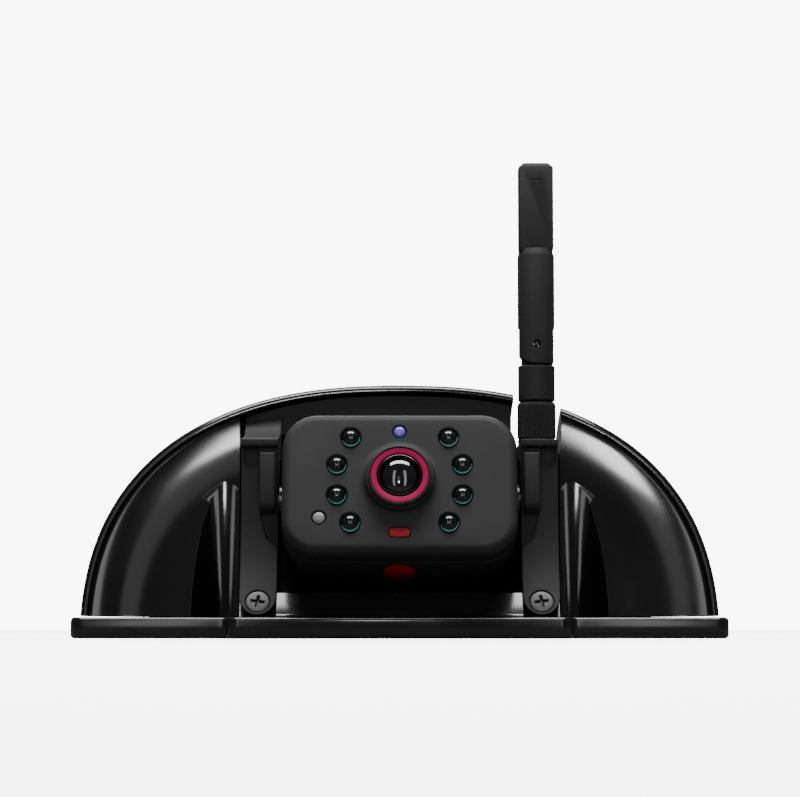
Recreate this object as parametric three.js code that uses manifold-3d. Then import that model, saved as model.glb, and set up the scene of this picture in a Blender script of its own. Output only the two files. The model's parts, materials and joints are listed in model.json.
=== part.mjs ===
// Vehicle rear-view observation camera: a fin-shaped housing on a flat base, a camera head
// that tilts between two bracket arms, and a folding antenna that swivels on its jack.
// Millimetres, +Z up. +X is to the right and -Y is the way the lens looks. The origin is the
// middle of the flat mounting face under the base.
import * as THREE from "three";
import { mergeVertices } from "three/addons/utils/BufferGeometryUtils.js";
import Module from "manifold-3d";

const wasm = await Module();
wasm.setup();

// ---- Driving dimensions ----

// Fits
const restGap = 0.3; // between faces that touch
const slipFit = 0.3; // around a pin, shank or screw head in its hole
const insertGap = 0.8; // around the bracket in the shell's recess

// Base
const baseWidth = 186;
const baseLength = 124;
const baseHeight = 6;
const baseFloor = 3;
const baseRim = 6; // width of the raised rim around the base
const lipBesideRecess = 2.7; // how far the centre section that stands out in front is wider
const lipReach = 9;
const wingSweep = 3.5; // how far the front edge falls back at its outer ends
const cornerRadius = 3.6;
const gasketInset = 1.8;
const gasketWidth = 1.6;
const gasketDepth = 1.4;
const mountingHoleRadius = 2.3;
const screwSeatRadius = 5; // spot face around each mounting hole
const screwSeatDepth = 0.3;

// Shell
const shellHeight = 73.6;
const shellWall = 2.4;
const flangeWidth = 2.4; // how far the base stands out around the shell
const archPower = 2.4; // squareness of the arch seen from the front
const frontLean = 0.24; // how far the front face falls back for each millimetre of height
const rimChamfer = 1.2;
const rimWidth = 3; // around the front face
const faceDip = 2.4; // how far the face lies behind the rim
const tailPower = 2.6;
const tailRound = 2;
const crestPower = 1.6;
const crestRound = 1.35;
const recessDraft = 1; // how much wider each side of the recess is at the top
const recessDepthBehindPivot = 30.5;
const leadWindowTop = 46; // opening behind the bracket for the leads
const pocketRadius = 9.8;
const pocketBesideRecess = 4; // from the recess to the pocket's axis
const pocketWall = 1.6;
const pocketBehindFace = 2.9;
const notchClearance = 1.3; // beside the antenna's nut
const notchCorner = 3.2;
const notchBelowSeat = 2; // its floor is under the antenna's seat
const bossRadius = 3.8;
const shellScrewPlaces = [
  [-72, -22],
  [72, -22],
  [-34, 38],
  [34, 38],
];

// Head
const headWidth = 65.8;
const headHeight = 41.4;
const headDepth = 35;
const headFaceReach = 16; // from the pivot to the face
const headCorner = 10;
const headWall = 2.2;
const headTilt = -17; // degrees about +X at rest; the face looks up a little
const pivotY = -45.5;
const pivotZ = 38.8;
const bezelDepth = 8;
const opticsLift = 0.5; // height of the lens centre above the middle of the face

// Bracket
const bracketWall = 2.5;
const armWidth = 10.4;
const armFace = 4.3; // how far the arm's face is in front of the pivot
const browBehindPivot = 17;
const washerThickness = 0.8;
const washerPlay = 0.4;
const footTilt = 30; // degrees that the foot's face looks up
const padDepth = 3.5;

// Antenna
const antennaOffset = 0.4; // outwards from the middle of the arm
const antennaY = -27;
const seatHeight = 56;
const nutRadius = 5.6;
const nutHeight = 12.2;
const nutTeeth = 24;
const stemRadius = 5.35;
const hingeHeight = 29.5; // hinge pin above the seat
const antennaHeight = 83.2; // top of the blade above the seat
const bladeStart = 57.7;
const bladeWidth = 10.2;
const bladeThickness = 6.4;
const tongueThickness = 3.6;
const jackRadius = 3.1;
const jackNutRadius = 4.1; // over its corners

// Lens and lights
const lensRadius = 5.4;
const barrelRadius = 6.1;
const accentOuter = 8.05;
const bezelOuter = 8.9;
const bossHeight = 2.6;
const ledRadius = 2.5;
const ledPlaces = [
  [-13.7, 12.6],
  [-17.5, 4.5],
  [-17.5, -4.5],
  [-13.7, -12.6],
  [13.7, 12.6],
  [17.5, 4.5],
  [17.5, -4.5],
  [13.7, -12.6],
];

// ---- Shapes ----

// A closed geometry as a solid, turned to face out.
function solid(geometry) {
  const bare = geometry.index ? geometry.toNonIndexed() : geometry.clone();
  bare.deleteAttribute("normal");
  bare.deleteAttribute("uv");
  const merged = mergeVertices(bare, 1e-4);
  const triVerts = new Uint32Array(merged.index.array);
  const vertProperties = merged.attributes.position.array;
  const made = new wasm.Manifold(new wasm.Mesh({ numProp: 3, vertProperties, triVerts }));
  if (made.volume() >= 0) return made;
  triVerts.reverse();
  return new wasm.Manifold(new wasm.Mesh({ numProp: 3, vertProperties, triVerts }));
}

// A solid's surface as a geometry.
function surface(made) {
  const mesh = made.getMesh();
  const position = new THREE.BufferAttribute(mesh.vertProperties, 3);
  const geometry = new THREE.BufferGeometry().setAttribute("position", position);
  return geometry.setIndex(new THREE.BufferAttribute(mesh.triVerts, 1));
}

const join = (first, ...others) =>
  surface(others.reduce((sum, next) => sum.add(solid(next)), solid(first)));
const cut = (body, ...tools) =>
  surface(tools.reduce((rest, tool) => rest.subtract(solid(tool)), solid(body)));
const common = (first, second) => surface(solid(first).intersect(solid(second)));

const shapeOf = (outline) =>
  outline instanceof THREE.Shape
    ? outline
    : new THREE.Shape(outline.map(([a, b]) => new THREE.Vector2(a, b)));
const extrude = (outline, depth, curveSegments = 6) =>
  new THREE.ExtrudeGeometry(shapeOf(outline), { depth, curveSegments, bevelEnabled: false });

// A box between two corners.
function box(x0, x1, y0, y1, z0, z1) {
  const geometry = new THREE.BoxGeometry(x1 - x0, y1 - y0, z1 - z0);
  return geometry.translate((x0 + x1) / 2, (y0 + y1) / 2, (z0 + z1) / 2);
}

// An outline in (x, y) raised from z0 to z1.
const upright = (outline, z0, z1, segments) =>
  extrude(outline, z1 - z0, segments).translate(0, 0, z0);

// An outline in (y, z) carried from x0 to x1.
function sideways(outline, x0, x1) {
  const axes = new THREE.Matrix4().makeBasis(
    new THREE.Vector3(0, 1, 0),
    new THREE.Vector3(0, 0, 1),
    new THREE.Vector3(1, 0, 0),
  );
  return extrude(outline, x1 - x0)
    .applyMatrix4(axes)
    .translate(x0, 0, 0);
}

// An outline in (x, z) carried from y0 to y1.
const frontal = (outline, y0, y1, segments) =>
  extrude(outline, y1 - y0, segments)
    .rotateX(Math.PI / 2)
    .translate(0, y1, 0);

// A profile of [radius, height] points turned about +Z.
function turned(profile, sides = 20) {
  const points = profile.map(([radius, height]) => new THREE.Vector2(radius, height));
  return new THREE.LatheGeometry(points, sides).rotateX(Math.PI / 2);
}

// A plain cylinder about +Z.
const rod = (radius, z0, z1, sides) =>
  turned(
    [
      [0, z0],
      [radius, z0],
      [radius, z1],
      [0, z1],
    ],
    sides,
  );

// A ring of rectangular section about +Z.
const ring = (inner, outer, z0, z1, sides) =>
  turned(
    [
      [inner, z0],
      [outer, z0],
      [outer, z1],
      [inner, z1],
      [inner, z0],
    ],
    sides,
  );

// The points of a rectangle with round corners.
function roundedRectangle(halfWidth, halfHeight, radius, steps = 5) {
  const points = [];
  for (let quarter = 0; quarter < 4; quarter++) {
    const x = (halfWidth - radius) * (quarter % 3 ? -1 : 1);
    const y = (halfHeight - radius) * (quarter < 2 ? 1 : -1);
    for (let step = 0; step <= steps; step++) {
      const turn = ((quarter + step / steps) * Math.PI) / 2;
      points.push([x + radius * Math.cos(turn), y + radius * Math.sin(turn)]);
    }
  }
  return points;
}

// A closed skin over rings that hold the same number of points.
function loft(rings) {
  const count = rings[0].length;
  const vertices = rings.flat();
  const triangles = [];
  for (let row = 0; row + 1 < rings.length; row++) {
    for (let column = 0; column < count; column++) {
      const a = row * count + column;
      const b = row * count + ((column + 1) % count);
      triangles.push(a, b, a + count, b, b + count, a + count);
    }
  }
  for (const row of [0, rings.length - 1]) {
    const middle = vertices.length;
    const centre = new THREE.Vector3();
    rings[row].forEach((point) => centre.addScaledVector(point, 1 / count));
    vertices.push(centre);
    for (let column = 0; column < count; column++) {
      const a = row * count + column;
      const b = row * count + ((column + 1) % count);
      triangles.push(...(row ? [a, b, middle] : [b, a, middle]));
    }
  }
  return new THREE.BufferGeometry().setFromPoints(vertices).setIndex(triangles);
}

const both = (make) => [make(-1), make(1)];
const radians = THREE.MathUtils.degToRad;

// ---- Places worked out from the driving dimensions ----

const lipFront = -baseLength / 2;
const wingFront = lipFront + lipReach;
const tail = baseLength / 2;
const shellHalf = baseWidth / 2 - flangeWidth;
const shellBottom = baseHeight + restGap;
const faceAtBase = wingFront + wingSweep + cornerRadius;
const faceAtZero = faceAtBase - frontLean * baseHeight;
const shellTail = tail - flangeWidth;
const browY = pivotY + browBehindPivot;
const recessBack = pivotY + recessDepthBehindPivot;
const bracketBack = recessBack - insertGap;
const armInner = headWidth / 2 + restGap + washerThickness + washerPlay;
const armMiddle = armInner + armWidth / 2;
const bracketHalf = armInner + armWidth;
const recessBottomHalf = bracketHalf + insertGap;
const lipHalfWidth = recessBottomHalf + lipBesideRecess;
const pocketX = recessBottomHalf + pocketBesideRecess;
const mountingHoleX = (recessBottomHalf + pocketWall + pocketX + pocketRadius) / 2;
const antennaX = armMiddle + antennaOffset;
const pocketY = faceAtBase + pocketBehindFace;
const footSlope = Math.tan(radians(footTilt));
const padHeight = 12.8;

// ---- Base ----

// The base's outline without its centre lip, drawn in by an inset.
function baseOutline(inset) {
  const half = baseWidth / 2 - inset;
  const front = wingFront + inset;
  const corner = Math.max(cornerRadius - inset, 0.6);
  const cornerY = front + wingSweep + corner;
  const right = [];
  for (let step = 0; step <= 4; step++) {
    const x = ((half - corner) * step) / 4;
    right.push([x, front + wingSweep * (step / 4) ** 2]);
  }
  for (let step = 1; step <= 3; step++) {
    const turn = ((step / 3) * Math.PI) / 2;
    right.push([half - corner + corner * Math.sin(turn), cornerY - corner * Math.cos(turn)]);
  }
  for (let step = 1; step <= 10; step++) {
    const share = Math.sin(((step / 10) * Math.PI) / 2);
    const x = half * (1 - share ** tailPower) ** (1 / tailRound);
    right.push([x, cornerY + (tail - inset - cornerY) * share]);
  }
  const left = right.slice(1, -1).reverse();
  return [...right, ...left.map(([x, y]) => [-x, y])];
}

// Something made upright about +Z, leant to the foot's face and put at a place on it.
const footPlace = [armMiddle, lipFront + 5.2, 10.4];
const onFoot = (side, geometry) =>
  geometry
    .rotateX(Math.PI / 2 - radians(footTilt))
    .translate(side * footPlace[0], footPlace[1], footPlace[2]);

// A countersunk screw about +Z with its head's top at zero.
const countersunk = (head, shank, length, grow = 0) =>
  turned(
    [
      [0, -length - grow],
      [shank + grow, -length - grow],
      [shank + grow, -(head - shank)],
      [head + grow, -0.4],
      [head + grow, grow * 8],
      [0, grow * 8],
    ],
    16,
  );

// A cross recess for a screw's head with its top at a height.
const crossRecess = (reach, width, top, depth) => [
  box(-reach, reach, -width, width, top - depth, top + 1),
  box(-width, width, -reach, reach, top - depth, top + 1),
];

const bracketScrewHead = 3.3;
const bracketScrewShank = 1.5;
const bracketScrewLength = 7.5;
const shellScrewHead = 2.8;
const shellScrewShank = 1.3;
const shellScrewLength = 12;
const boardStandoffs = [
  [-30, 6],
  [30, 6],
];
const boardBottom = 12;
const boardScrewShank = 1.1;
const inletPlace = [0, 44];
const inletRadius = 6.7;

function makeBase() {
  const outline = upright(baseOutline(0), 0, baseHeight);
  const lip = upright(
    roundedRectangle(lipHalfWidth, 12, cornerRadius),
    0,
    baseHeight,
  ).translate(0, lipFront + 12, 0);
  const tray = cut(
    upright(baseOutline(baseRim), baseFloor, baseHeight + 1),
    box(-lipHalfWidth, lipHalfWidth, lipFront, recessBack + 3, 0, baseHeight + 2),
    ...both((side) =>
      rod(pocketRadius + shellWall, 0, baseHeight + 2, 20).translate(side * pocketX, pocketY, 0),
    ),
  );
  const padFront = lipFront + 3 + padDepth;
  const wedge = (front) => [
    [front, baseHeight - 0.5],
    [front + footSlope * (padHeight - baseHeight + 0.5), padHeight],
    [pivotY - 1, padHeight],
    [pivotY - 1, baseHeight - 0.5],
  ];
  const pads = both((side) =>
    sideways(wedge(padFront), ...(side < 0 ? [-bracketHalf, -armInner] : [armInner, bracketHalf])),
  );
  const apron = sideways(wedge(padFront - 2.6), -armInner, armInner);
  const posts = [
    ...shellScrewPlaces.map(([x, y]) => rod(bossRadius, 1, baseHeight, 10).translate(x, y, 0)),
    ...boardStandoffs.map(([x, y]) => rod(2.6, 1, boardBottom - restGap, 12).translate(x, y, 0)),
  ];
  const whole = join(cut(join(outline, lip), tray), ...pads, apron, ...posts);
  const groove = cut(
    upright(baseOutline(gasketInset - restGap), -1, gasketDepth + restGap),
    upright(baseOutline(gasketInset + gasketWidth + restGap), -2, gasketDepth + 1),
  );
  const mountingHoles = both((side) =>
    rod(mountingHoleRadius, -1, baseHeight + 1, 16).translate(side * mountingHoleX, pocketY, 0),
  );
  const screwSeats = both((side) =>
    rod(screwSeatRadius, baseHeight - screwSeatDepth, baseHeight + 1, 24).translate(
      side * mountingHoleX,
      pocketY,
      0,
    ),
  );
  const shellScrewHoles = shellScrewPlaces.flatMap(([x, y]) => [
    rod(shellScrewShank + slipFit, -1, baseHeight + 1, 8).translate(x, y, 0),
    rod(shellScrewHead + slipFit, -1, 2.2, 10).translate(x, y, 0),
  ]);
  const boardHoles = boardStandoffs.map(([x, y]) =>
    rod(boardScrewShank + slipFit, baseFloor + 1, boardBottom + 1, 8).translate(x, y, 0),
  );
  const footHoles = both((side) =>
    onFoot(side, rod(bracketScrewShank + slipFit, -bracketScrewLength - 1, 1, 12)),
  );
  const inlet = rod(inletRadius + slipFit, -1, baseHeight, 20).translate(...inletPlace, 0);
  return cut(
    whole,
    groove,
    ...mountingHoles,
    ...screwSeats,
    ...shellScrewHoles,
    ...boardHoles,
    ...footHoles,
    inlet,
  );
}

const makeBaseGasket = () =>
  cut(
    upright(baseOutline(gasketInset), 0, gasketDepth),
    upright(baseOutline(gasketInset + gasketWidth), -1, gasketDepth + 1),
  );

// A screw with a flat head about +Z, its head's face at one height and its tip at another.
function screw(head, shank, faceAt, tipAt, headHeight) {
  const under = faceAt + Math.sign(tipAt - faceAt) * headHeight;
  const profile = [
    [0, faceAt],
    [head, faceAt],
    [head, under],
    [shank, under],
    [shank, tipAt],
    [0, tipAt],
  ];
  return surface(solid(turned(profile, 10)));
}

const makeShellScrew = () =>
  screw(shellScrewHead, shellScrewShank, 0.4, 1.9 + shellScrewLength, 1.5);

const makeBracketScrew = () =>
  cut(
    countersunk(bracketScrewHead, bracketScrewShank, bracketScrewLength),
    ...crossRecess(1.9, 0.42, 0, 1.2),
  );

// A rubber inlet that grips the edge of a wall: a neck through it and a flange on each side.
const grommet = (neck, flange, bore, wall) =>
  turned(
    [
      [bore, 0.3],
      [neck, 0.3],
      [neck, wall + restGap],
      [flange, wall + restGap],
      [flange, wall + 2.4],
      [bore + 1.2, wall + 7],
      [bore, wall + 7],
      [bore, 0.3],
    ],
    14,
  );

// ---- Shell ----

// One arch of the shell's skin at a share of the way from its front to its tail.
function arch(share, inset, y0, y1, columns = 24) {
  const half = shellHalf * (1 - share ** tailPower) ** (1 / tailRound) - inset;
  const top = shellHeight * (1 - share ** crestPower) ** (1 / crestRound) - inset;
  const lean = frontLean * (1 - share);
  const points = [];
  for (let column = 0; column <= columns; column++) {
    const turn = (column / columns) * Math.PI;
    const x = half * Math.sign(Math.cos(turn)) * Math.abs(Math.cos(turn)) ** (2 / archPower);
    const z = top * Math.sin(turn) ** (2 / archPower);
    points.push(new THREE.Vector3(x, y0 + (y1 - y0) * share + lean * z, z));
  }
  return points;
}

// The streamlined body, drawn in by an inset.
function fin(inset, columns, behind = 0) {
  const y0 = faceAtZero + inset + behind;
  const y1 = shellTail - inset;
  const rings = [arch(0, inset + rimChamfer, y0, y1, columns)];
  for (let step = 0; step <= 10; step++) {
    const share = 0.012 + 0.973 * Math.sin(((step / 10) * Math.PI) / 2);
    rings.push(arch(share, inset, y0, y1, columns));
  }
  return loft(rings);
}

// What is cut away in front of the face inside the rim.
const faceSpace = () =>
  loft([arch(0, rimWidth, lipFront - 30, 0), arch(0, rimWidth, faceAtZero + faceDip, 0)]);

// The recess's width follows its draft.
const recessOutline = (grow) => [
  [-recessBottomHalf - grow, -1],
  [recessBottomHalf + grow, -1],
  [recessBottomHalf + recessDraft + grow, shellHeight + 10],
  [-recessBottomHalf - recessDraft - grow, shellHeight + 10],
];

// The space under the roof, carried out through the front.
function underRoof(inset) {
  const mouth = arch(0, inset, 0, 0).map(({ x, z }) => [x, z]);
  return join(
    fin(inset),
    frontal(mouth, lipFront - 20, faceAtZero + frontLean * shellHeight + 4),
  );
}

const notchLeft = antennaX - nutRadius - notchClearance;
const notchRight = antennaX + nutRadius + notchClearance;

// The notch for the antenna, with round corners at its floor.
function notch(grow, y0, y1) {
  const shape = new THREE.Shape();
  const x0 = notchLeft - grow;
  const x1 = notchRight + grow;
  const floor = seatHeight - notchBelowSeat - grow;
  shape.moveTo(x0, shellHeight + 20);
  shape.lineTo(x0, floor + notchCorner);
  shape.absarc(x0 + notchCorner, floor + notchCorner, notchCorner, Math.PI, 1.5 * Math.PI);
  shape.absarc(x1 - notchCorner, floor + notchCorner, notchCorner, 1.5 * Math.PI, 2 * Math.PI);
  shape.lineTo(x1, shellHeight + 20);
  shape.closePath();
  return frontal(shape, y0, y1, 4);
}

const pocket = (side, radius, z0) =>
  rod(radius, z0, shellHeight, 20).translate(side * pocketX, pocketY, 0);

// What lies outside the thin wall between the recess and a pocket.
const besideRecess = (side) => {
  const edges = [side * (recessBottomHalf + pocketWall), side * baseWidth];
  return box(Math.min(...edges), Math.max(...edges), lipFront - 30, tail, -10, shellHeight + 10);
};

function makeShell() {
  const recess = common(frontal(recessOutline(0), lipFront - 30, recessBack), underRoof(shellWall));
  const hollow = cut(
    fin(shellWall, undefined, faceDip),
    frontal(recessOutline(shellWall), lipFront - 30, recessBack + shellWall),
    ...both((side) => pocket(side, pocketRadius + shellWall, -5)),
    notch(shellWall, lipFront - 30, tail),
    ...shellScrewPlaces.map(([x, y]) =>
      rod(bossRadius, -5, shellHeight, 10).translate(x, y, 0),
    ),
  );
  const pilots = shellScrewPlaces.map(([x, y]) =>
    rod(shellScrewShank + slipFit, -1, shellScrewLength + 3, 8).translate(x, y, 0),
  );
  return cut(
    fin(0),
    hollow,
    faceSpace(),
    recess,
    ...both((side) => common(pocket(side, pocketRadius, -5), besideRecess(side))),
    notch(0, lipFront - 30, tail + 10),
    rod(nutRadius + slipFit, seatHeight - 3, seatHeight + 1, 20).translate(antennaX, antennaY, 0),
    box(-baseWidth, baseWidth, -baseLength, baseLength, -10, shellBottom),
    box(-armMiddle - 2, armMiddle + 2, recessBack - 1, recessBack + shellWall + 1, 0, leadWindowTop),
    ...pilots,
  );
}

// ---- Bracket ----

const armFront = pivotY - armFace;
const lipY = armFront - 1.8;
const seatFloor = seatHeight - 5;
const bracketFoot = baseHeight + 0.6;
const footFront = lipFront + 3;
const lugTop = seatHeight - 3.7;
const lugHeight = 17.1;
const pivotShank = 2;
const pivotHead = 3.2;
const pigtailExit = [armMiddle - 1.6, bracketBack, 24];

// The side view of an arm: foot, concave sweep, upright face, lip, cove and brow.
function armOutline() {
  const shape = new THREE.Shape();
  const knee = bracketFoot + 7.4;
  shape.moveTo(footFront, bracketFoot);
  shape.lineTo(footFront + footSlope * (knee - bracketFoot), knee);
  shape.quadraticCurveTo(armFront + 0.2, knee + 8, armFront, lugTop - 16.5);
  shape.lineTo(armFront, seatHeight - 2);
  shape.lineTo(lipY, seatHeight - 2);
  shape.lineTo(lipY, seatHeight + 0.4);
  shape.bezierCurveTo(browY - 8, seatHeight + 1.2, browY, seatHeight + 4, browY, seatHeight + 10);
  shape.lineTo(browY, shellHeight + 10);
  shape.lineTo(browY + bracketWall, shellHeight + 10);
  shape.lineTo(browY + bracketWall, seatHeight);
  shape.lineTo(bracketBack, seatHeight);
  shape.lineTo(bracketBack, seatFloor);
  shape.lineTo(pivotY + 6, seatFloor);
  shape.lineTo(pivotY + 6, pivotZ - 8);
  const padPlane = (z) => lipFront + 3 + padDepth - restGap * 1.2 + footSlope * (z - baseHeight + 0.5);
  shape.lineTo(padPlane(14) + 5, 19);
  shape.lineTo(padPlane(13.4), 13.4);
  shape.lineTo(padPlane(bracketFoot), bracketFoot);
  shape.closePath();
  return shape;
}

// The round-ended outline of an arm's foot seen from the front.
function footOutline(side) {
  const shape = new THREE.Shape();
  const middle = side * armMiddle;
  const radius = armWidth / 2;
  shape.moveTo(middle + radius, shellHeight + 10);
  shape.lineTo(middle - radius, shellHeight + 10);
  shape.absarc(middle, bracketFoot + radius, radius, Math.PI, 2 * Math.PI);
  shape.closePath();
  return shape;
}

function makeBracket() {
  const browBottom = pivotZ + Math.hypot(headFaceReach, headHeight / 2) - 6;
  const backWall = [
    [browY, shellHeight + 10],
    [browY, browBottom],
    [bracketBack - bracketWall, browBottom],
    [bracketBack - bracketWall, bracketFoot],
    [bracketBack, bracketFoot],
    [bracketBack, browBottom + bracketWall],
    [browY + bracketWall, browBottom + bracketWall],
    [browY + bracketWall, shellHeight + 10],
  ];
  const spine = sideways(backWall, -bracketHalf, bracketHalf);
  const arms = both((side) =>
    common(
      sideways(armOutline(), side < 0 ? -bracketHalf : armInner, side < 0 ? -armInner : bracketHalf),
      frontal(footOutline(side), lipFront, tail, 8),
    ),
  );
  const cheeks = both((side) => {
    const outer = side * bracketHalf;
    const inner = side * (bracketHalf - bracketWall);
    return box(
      Math.min(outer, inner),
      Math.max(outer, inner),
      pivotY + 4,
      bracketBack,
      padHeight + 1,
      seatHeight - 1,
    );
  });
  const lugs = both((side) => {
    const inner = side * (armInner + 0.9);
    const outer = side * (armInner + 5.1);
    const lug = [
      [armFront + 1, lugTop],
      [armFront - 2.3, lugTop],
      [armFront - 2.9, lugTop - 14.7],
      [armFront + 0.2, lugTop - lugHeight],
      [armFront + 1, lugTop - lugHeight],
    ];
    return sideways(lug, Math.min(inner, outer), Math.max(inner, outer));
  });
  const reliefs = both((side) =>
    frontal(roundedRectangle(2.1, 4, 2, 3), armFront - 1, armFront + 1.6).translate(
      side * (armInner + 7.6),
      0,
      seatHeight - 4,
    ),
  );
  const pivotHoles = both((side) =>
    join(
      rod(pivotShank + slipFit, armInner - 1, bracketHalf + 1, 16),
      rod(pivotHead + slipFit, bracketHalf - 2.6, bracketHalf + 1, 16),
    )
      .rotateY((side * Math.PI) / 2)
      .translate(0, pivotY, pivotZ),
  );
  const screwHoles = both((side) =>
    onFoot(side, countersunk(bracketScrewHead, bracketScrewShank, bracketScrewLength, slipFit)),
  );
  const leadHole = rod(4, bracketBack - 6, bracketBack + 1, 16)
    .rotateX(-Math.PI / 2)
    .translate(0, 0, 24);
  const pigtailHole = rod(3, bracketBack - 6, bracketBack + 1, 16)
    .rotateX(-Math.PI / 2)
    .translate(pigtailExit[0], 0, pigtailExit[2]);
  const antennaGap = box(notchLeft - insertGap, bracketHalf + 5, lipFront, tail, seatHeight, 100);
  const jackHole = rod(jackRadius + slipFit, seatFloor - 1, seatHeight + 1, 16);
  const nutSpace = rod(jackNutRadius + slipFit, seatFloor - 14, seatFloor, 20);
  const jackSeat = rod(nutRadius - 0.1, seatHeight - 2.4, seatHeight + 1, 20);
  const whole = common(join(spine, ...arms, ...cheeks, ...lugs), underRoof(shellWall + insertGap));
  return cut(
    whole,
    antennaGap,
    ...reliefs,
    ...pivotHoles,
    ...screwHoles,
    leadHole,
    pigtailHole,
    jackHole.translate(antennaX, antennaY, 0),
    nutSpace.translate(antennaX, antennaY, 0),
    jackSeat.translate(antennaX, antennaY, 0),
  );
}

// ---- Boards and leads in the housing ----

const boardTop = boardBottom + 1.6;

function makeRadioBoard() {
  const board = upright(roundedRectangle(36, 17, 2, 3), boardBottom, boardTop).translate(0, 9, 0);
  return cut(
    board,
    ...boardStandoffs.map(([x, y]) =>
      rod(boardScrewShank + slipFit, boardBottom - 1, boardTop + 1, 8).translate(x, y, 0),
    ),
  );
}

const makeShieldCan = () =>
  cut(
    box(-14, 14, 0, 20, boardTop + restGap, boardTop + 4),
    box(-13.4, 13.4, 0.6, 19.4, boardTop, boardTop + 3.4),
  );

const makePowerConnector = () =>
  cut(
    box(-27, -18, 14, 21, boardTop + restGap, boardTop + 7),
    box(-26, -19, 15, 20, boardTop + 2, boardTop + 8),
  );

const makeBoardScrew = () => screw(2.1, boardScrewShank, boardTop + 1.8, 5, 1.5);

// A round lead along a smooth curve through points.
function lead(points, radius, steps) {
  const path = new THREE.CatmullRomCurve3(points.map((point) => new THREE.Vector3(...point)));
  const section = new THREE.Shape();
  section.absarc(0, 0, radius, 0, 2 * Math.PI);
  return new THREE.ExtrudeGeometry(section, { steps, curveSegments: 4, extrudePath: path });
}

const pigtailRadius = 1.1;
const jackTail = seatHeight - 12;
const makePigtail = () =>
  lead(
    [
      [antennaX, antennaY, jackTail - restGap],
      [antennaX, antennaY, jackTail - 6],
      [antennaX - 1, antennaY + 2, pigtailExit[2] + 6],
      [pigtailExit[0], bracketBack - 4, pigtailExit[2] + 0.6],
      [pigtailExit[0], bracketBack + 4, pigtailExit[2] - 2],
      [34, -2, boardTop + 5],
      [28, 2, boardTop + 1.6],
    ],
    pigtailRadius,
    24,
  );

// ---- Camera head, about its pivot with the face towards -Y ----

const headHalfWidth = headWidth / 2;
const headHalfHeight = headHeight / 2;
const headFront = -headFaceReach;
const headBack = headFront + headDepth;
const bezelBack = headFront + bezelDepth;
const housingFront = bezelBack + 1.1;
const ledSeat = 5.2; // LED board behind the face
const boardThickness = 1.6;
const sensorSeat = 14; // sensor board behind the face
const headScrewPlaces = [
  [-1, 1],
  [1, 1],
  [-1, -1],
  [1, -1],
].map(([x, z]) => [x * (headHalfWidth - 6.9), z * (headHalfHeight - 6.6)]);
const headScrewSeat = 2.2;
const headScrewPost = 3;
const headScrewShank = 1;
const headScrewHead = 2.2;

// A skin through rounded rectangles, each drawn in by an inset at its own depth.
const headSkin = (levels) =>
  loft(
    levels.map(([y, inset]) =>
      roundedRectangle(
        headHalfWidth - inset,
        headHalfHeight - inset,
        headCorner - Math.min(inset, headCorner - 2),
      ).map(([x, z]) => new THREE.Vector3(x, y, z)),
    ),
  );

// Something made about +Z, put on the face with its height counted from the face.
const onFace = (geometry, x = 0, z = 0) =>
  geometry.rotateX(Math.PI / 2).translate(x, headFront, opticsLift + z);

// Something made about +Z, run from front to back at a place on the head.
const fromBehind = (geometry, x, z) => geometry.rotateX(-Math.PI / 2).translate(x, 0, z);

const lightSensorPlace = [0, 14.4];
const microphonePlace = [-22.4, -11.1];
const badgePlace = [0, -15.4];
const lightSensorRadius = 1.6;
const microphoneRadius = 1.7;
const leadNeck = 4.2;
const leadHeight = -5;

function makeFrontBezel() {
  const outer = headSkin([
    [headFront, 2.6],
    [headFront + 0.5, 1.3],
    [headFront + 1.6, 0.4],
    [headFront + 3, 0],
    [bezelBack, 0],
  ]);
  const cavity = headSkin([
    [headFront + headWall, headWall],
    [bezelBack + 1, headWall],
  ]);
  const boss = onFace(
    turned(
      [
        [0, -1],
        [11.4, -1],
        [11.4, 0],
        [10.3, 0.4],
        [9.6, 1.2],
        [9.4, bossHeight],
        [0, bossHeight],
      ],
      32,
    ),
  );
  const screwBosses = headScrewPlaces.map(([x, z]) =>
    fromBehind(rod(headScrewPost, headFront + 1, bezelBack, 10), x, z),
  );
  const pilots = headScrewPlaces.map(([x, z]) =>
    fromBehind(rod(headScrewShank + slipFit, headFront + headWall, bezelBack + 1, 8), x, z),
  );
  const bore = onFace(rod(barrelRadius + slipFit, -headWall - 1, bossHeight + 1, 24));
  const ledHoles = ledPlaces.map(([x, z]) =>
    onFace(rod(ledRadius + slipFit, -headWall - 1, 1, 10), x, z),
  );
  return cut(
    join(cut(outer, cavity), boss, ...screwBosses),
    ...pilots,
    bore,
    ...ledHoles,
    onFace(rod(lightSensorRadius + slipFit, -headWall - 1, 1, 12), ...lightSensorPlace),
    onFace(rod(microphoneRadius + slipFit, -headWall - 1, 1, 12), ...microphonePlace),
    onFace(upright(roundedRectangle(3.2, 1.6, 1.6, 3), -0.6, 1), ...badgePlace),
  );
}

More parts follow.
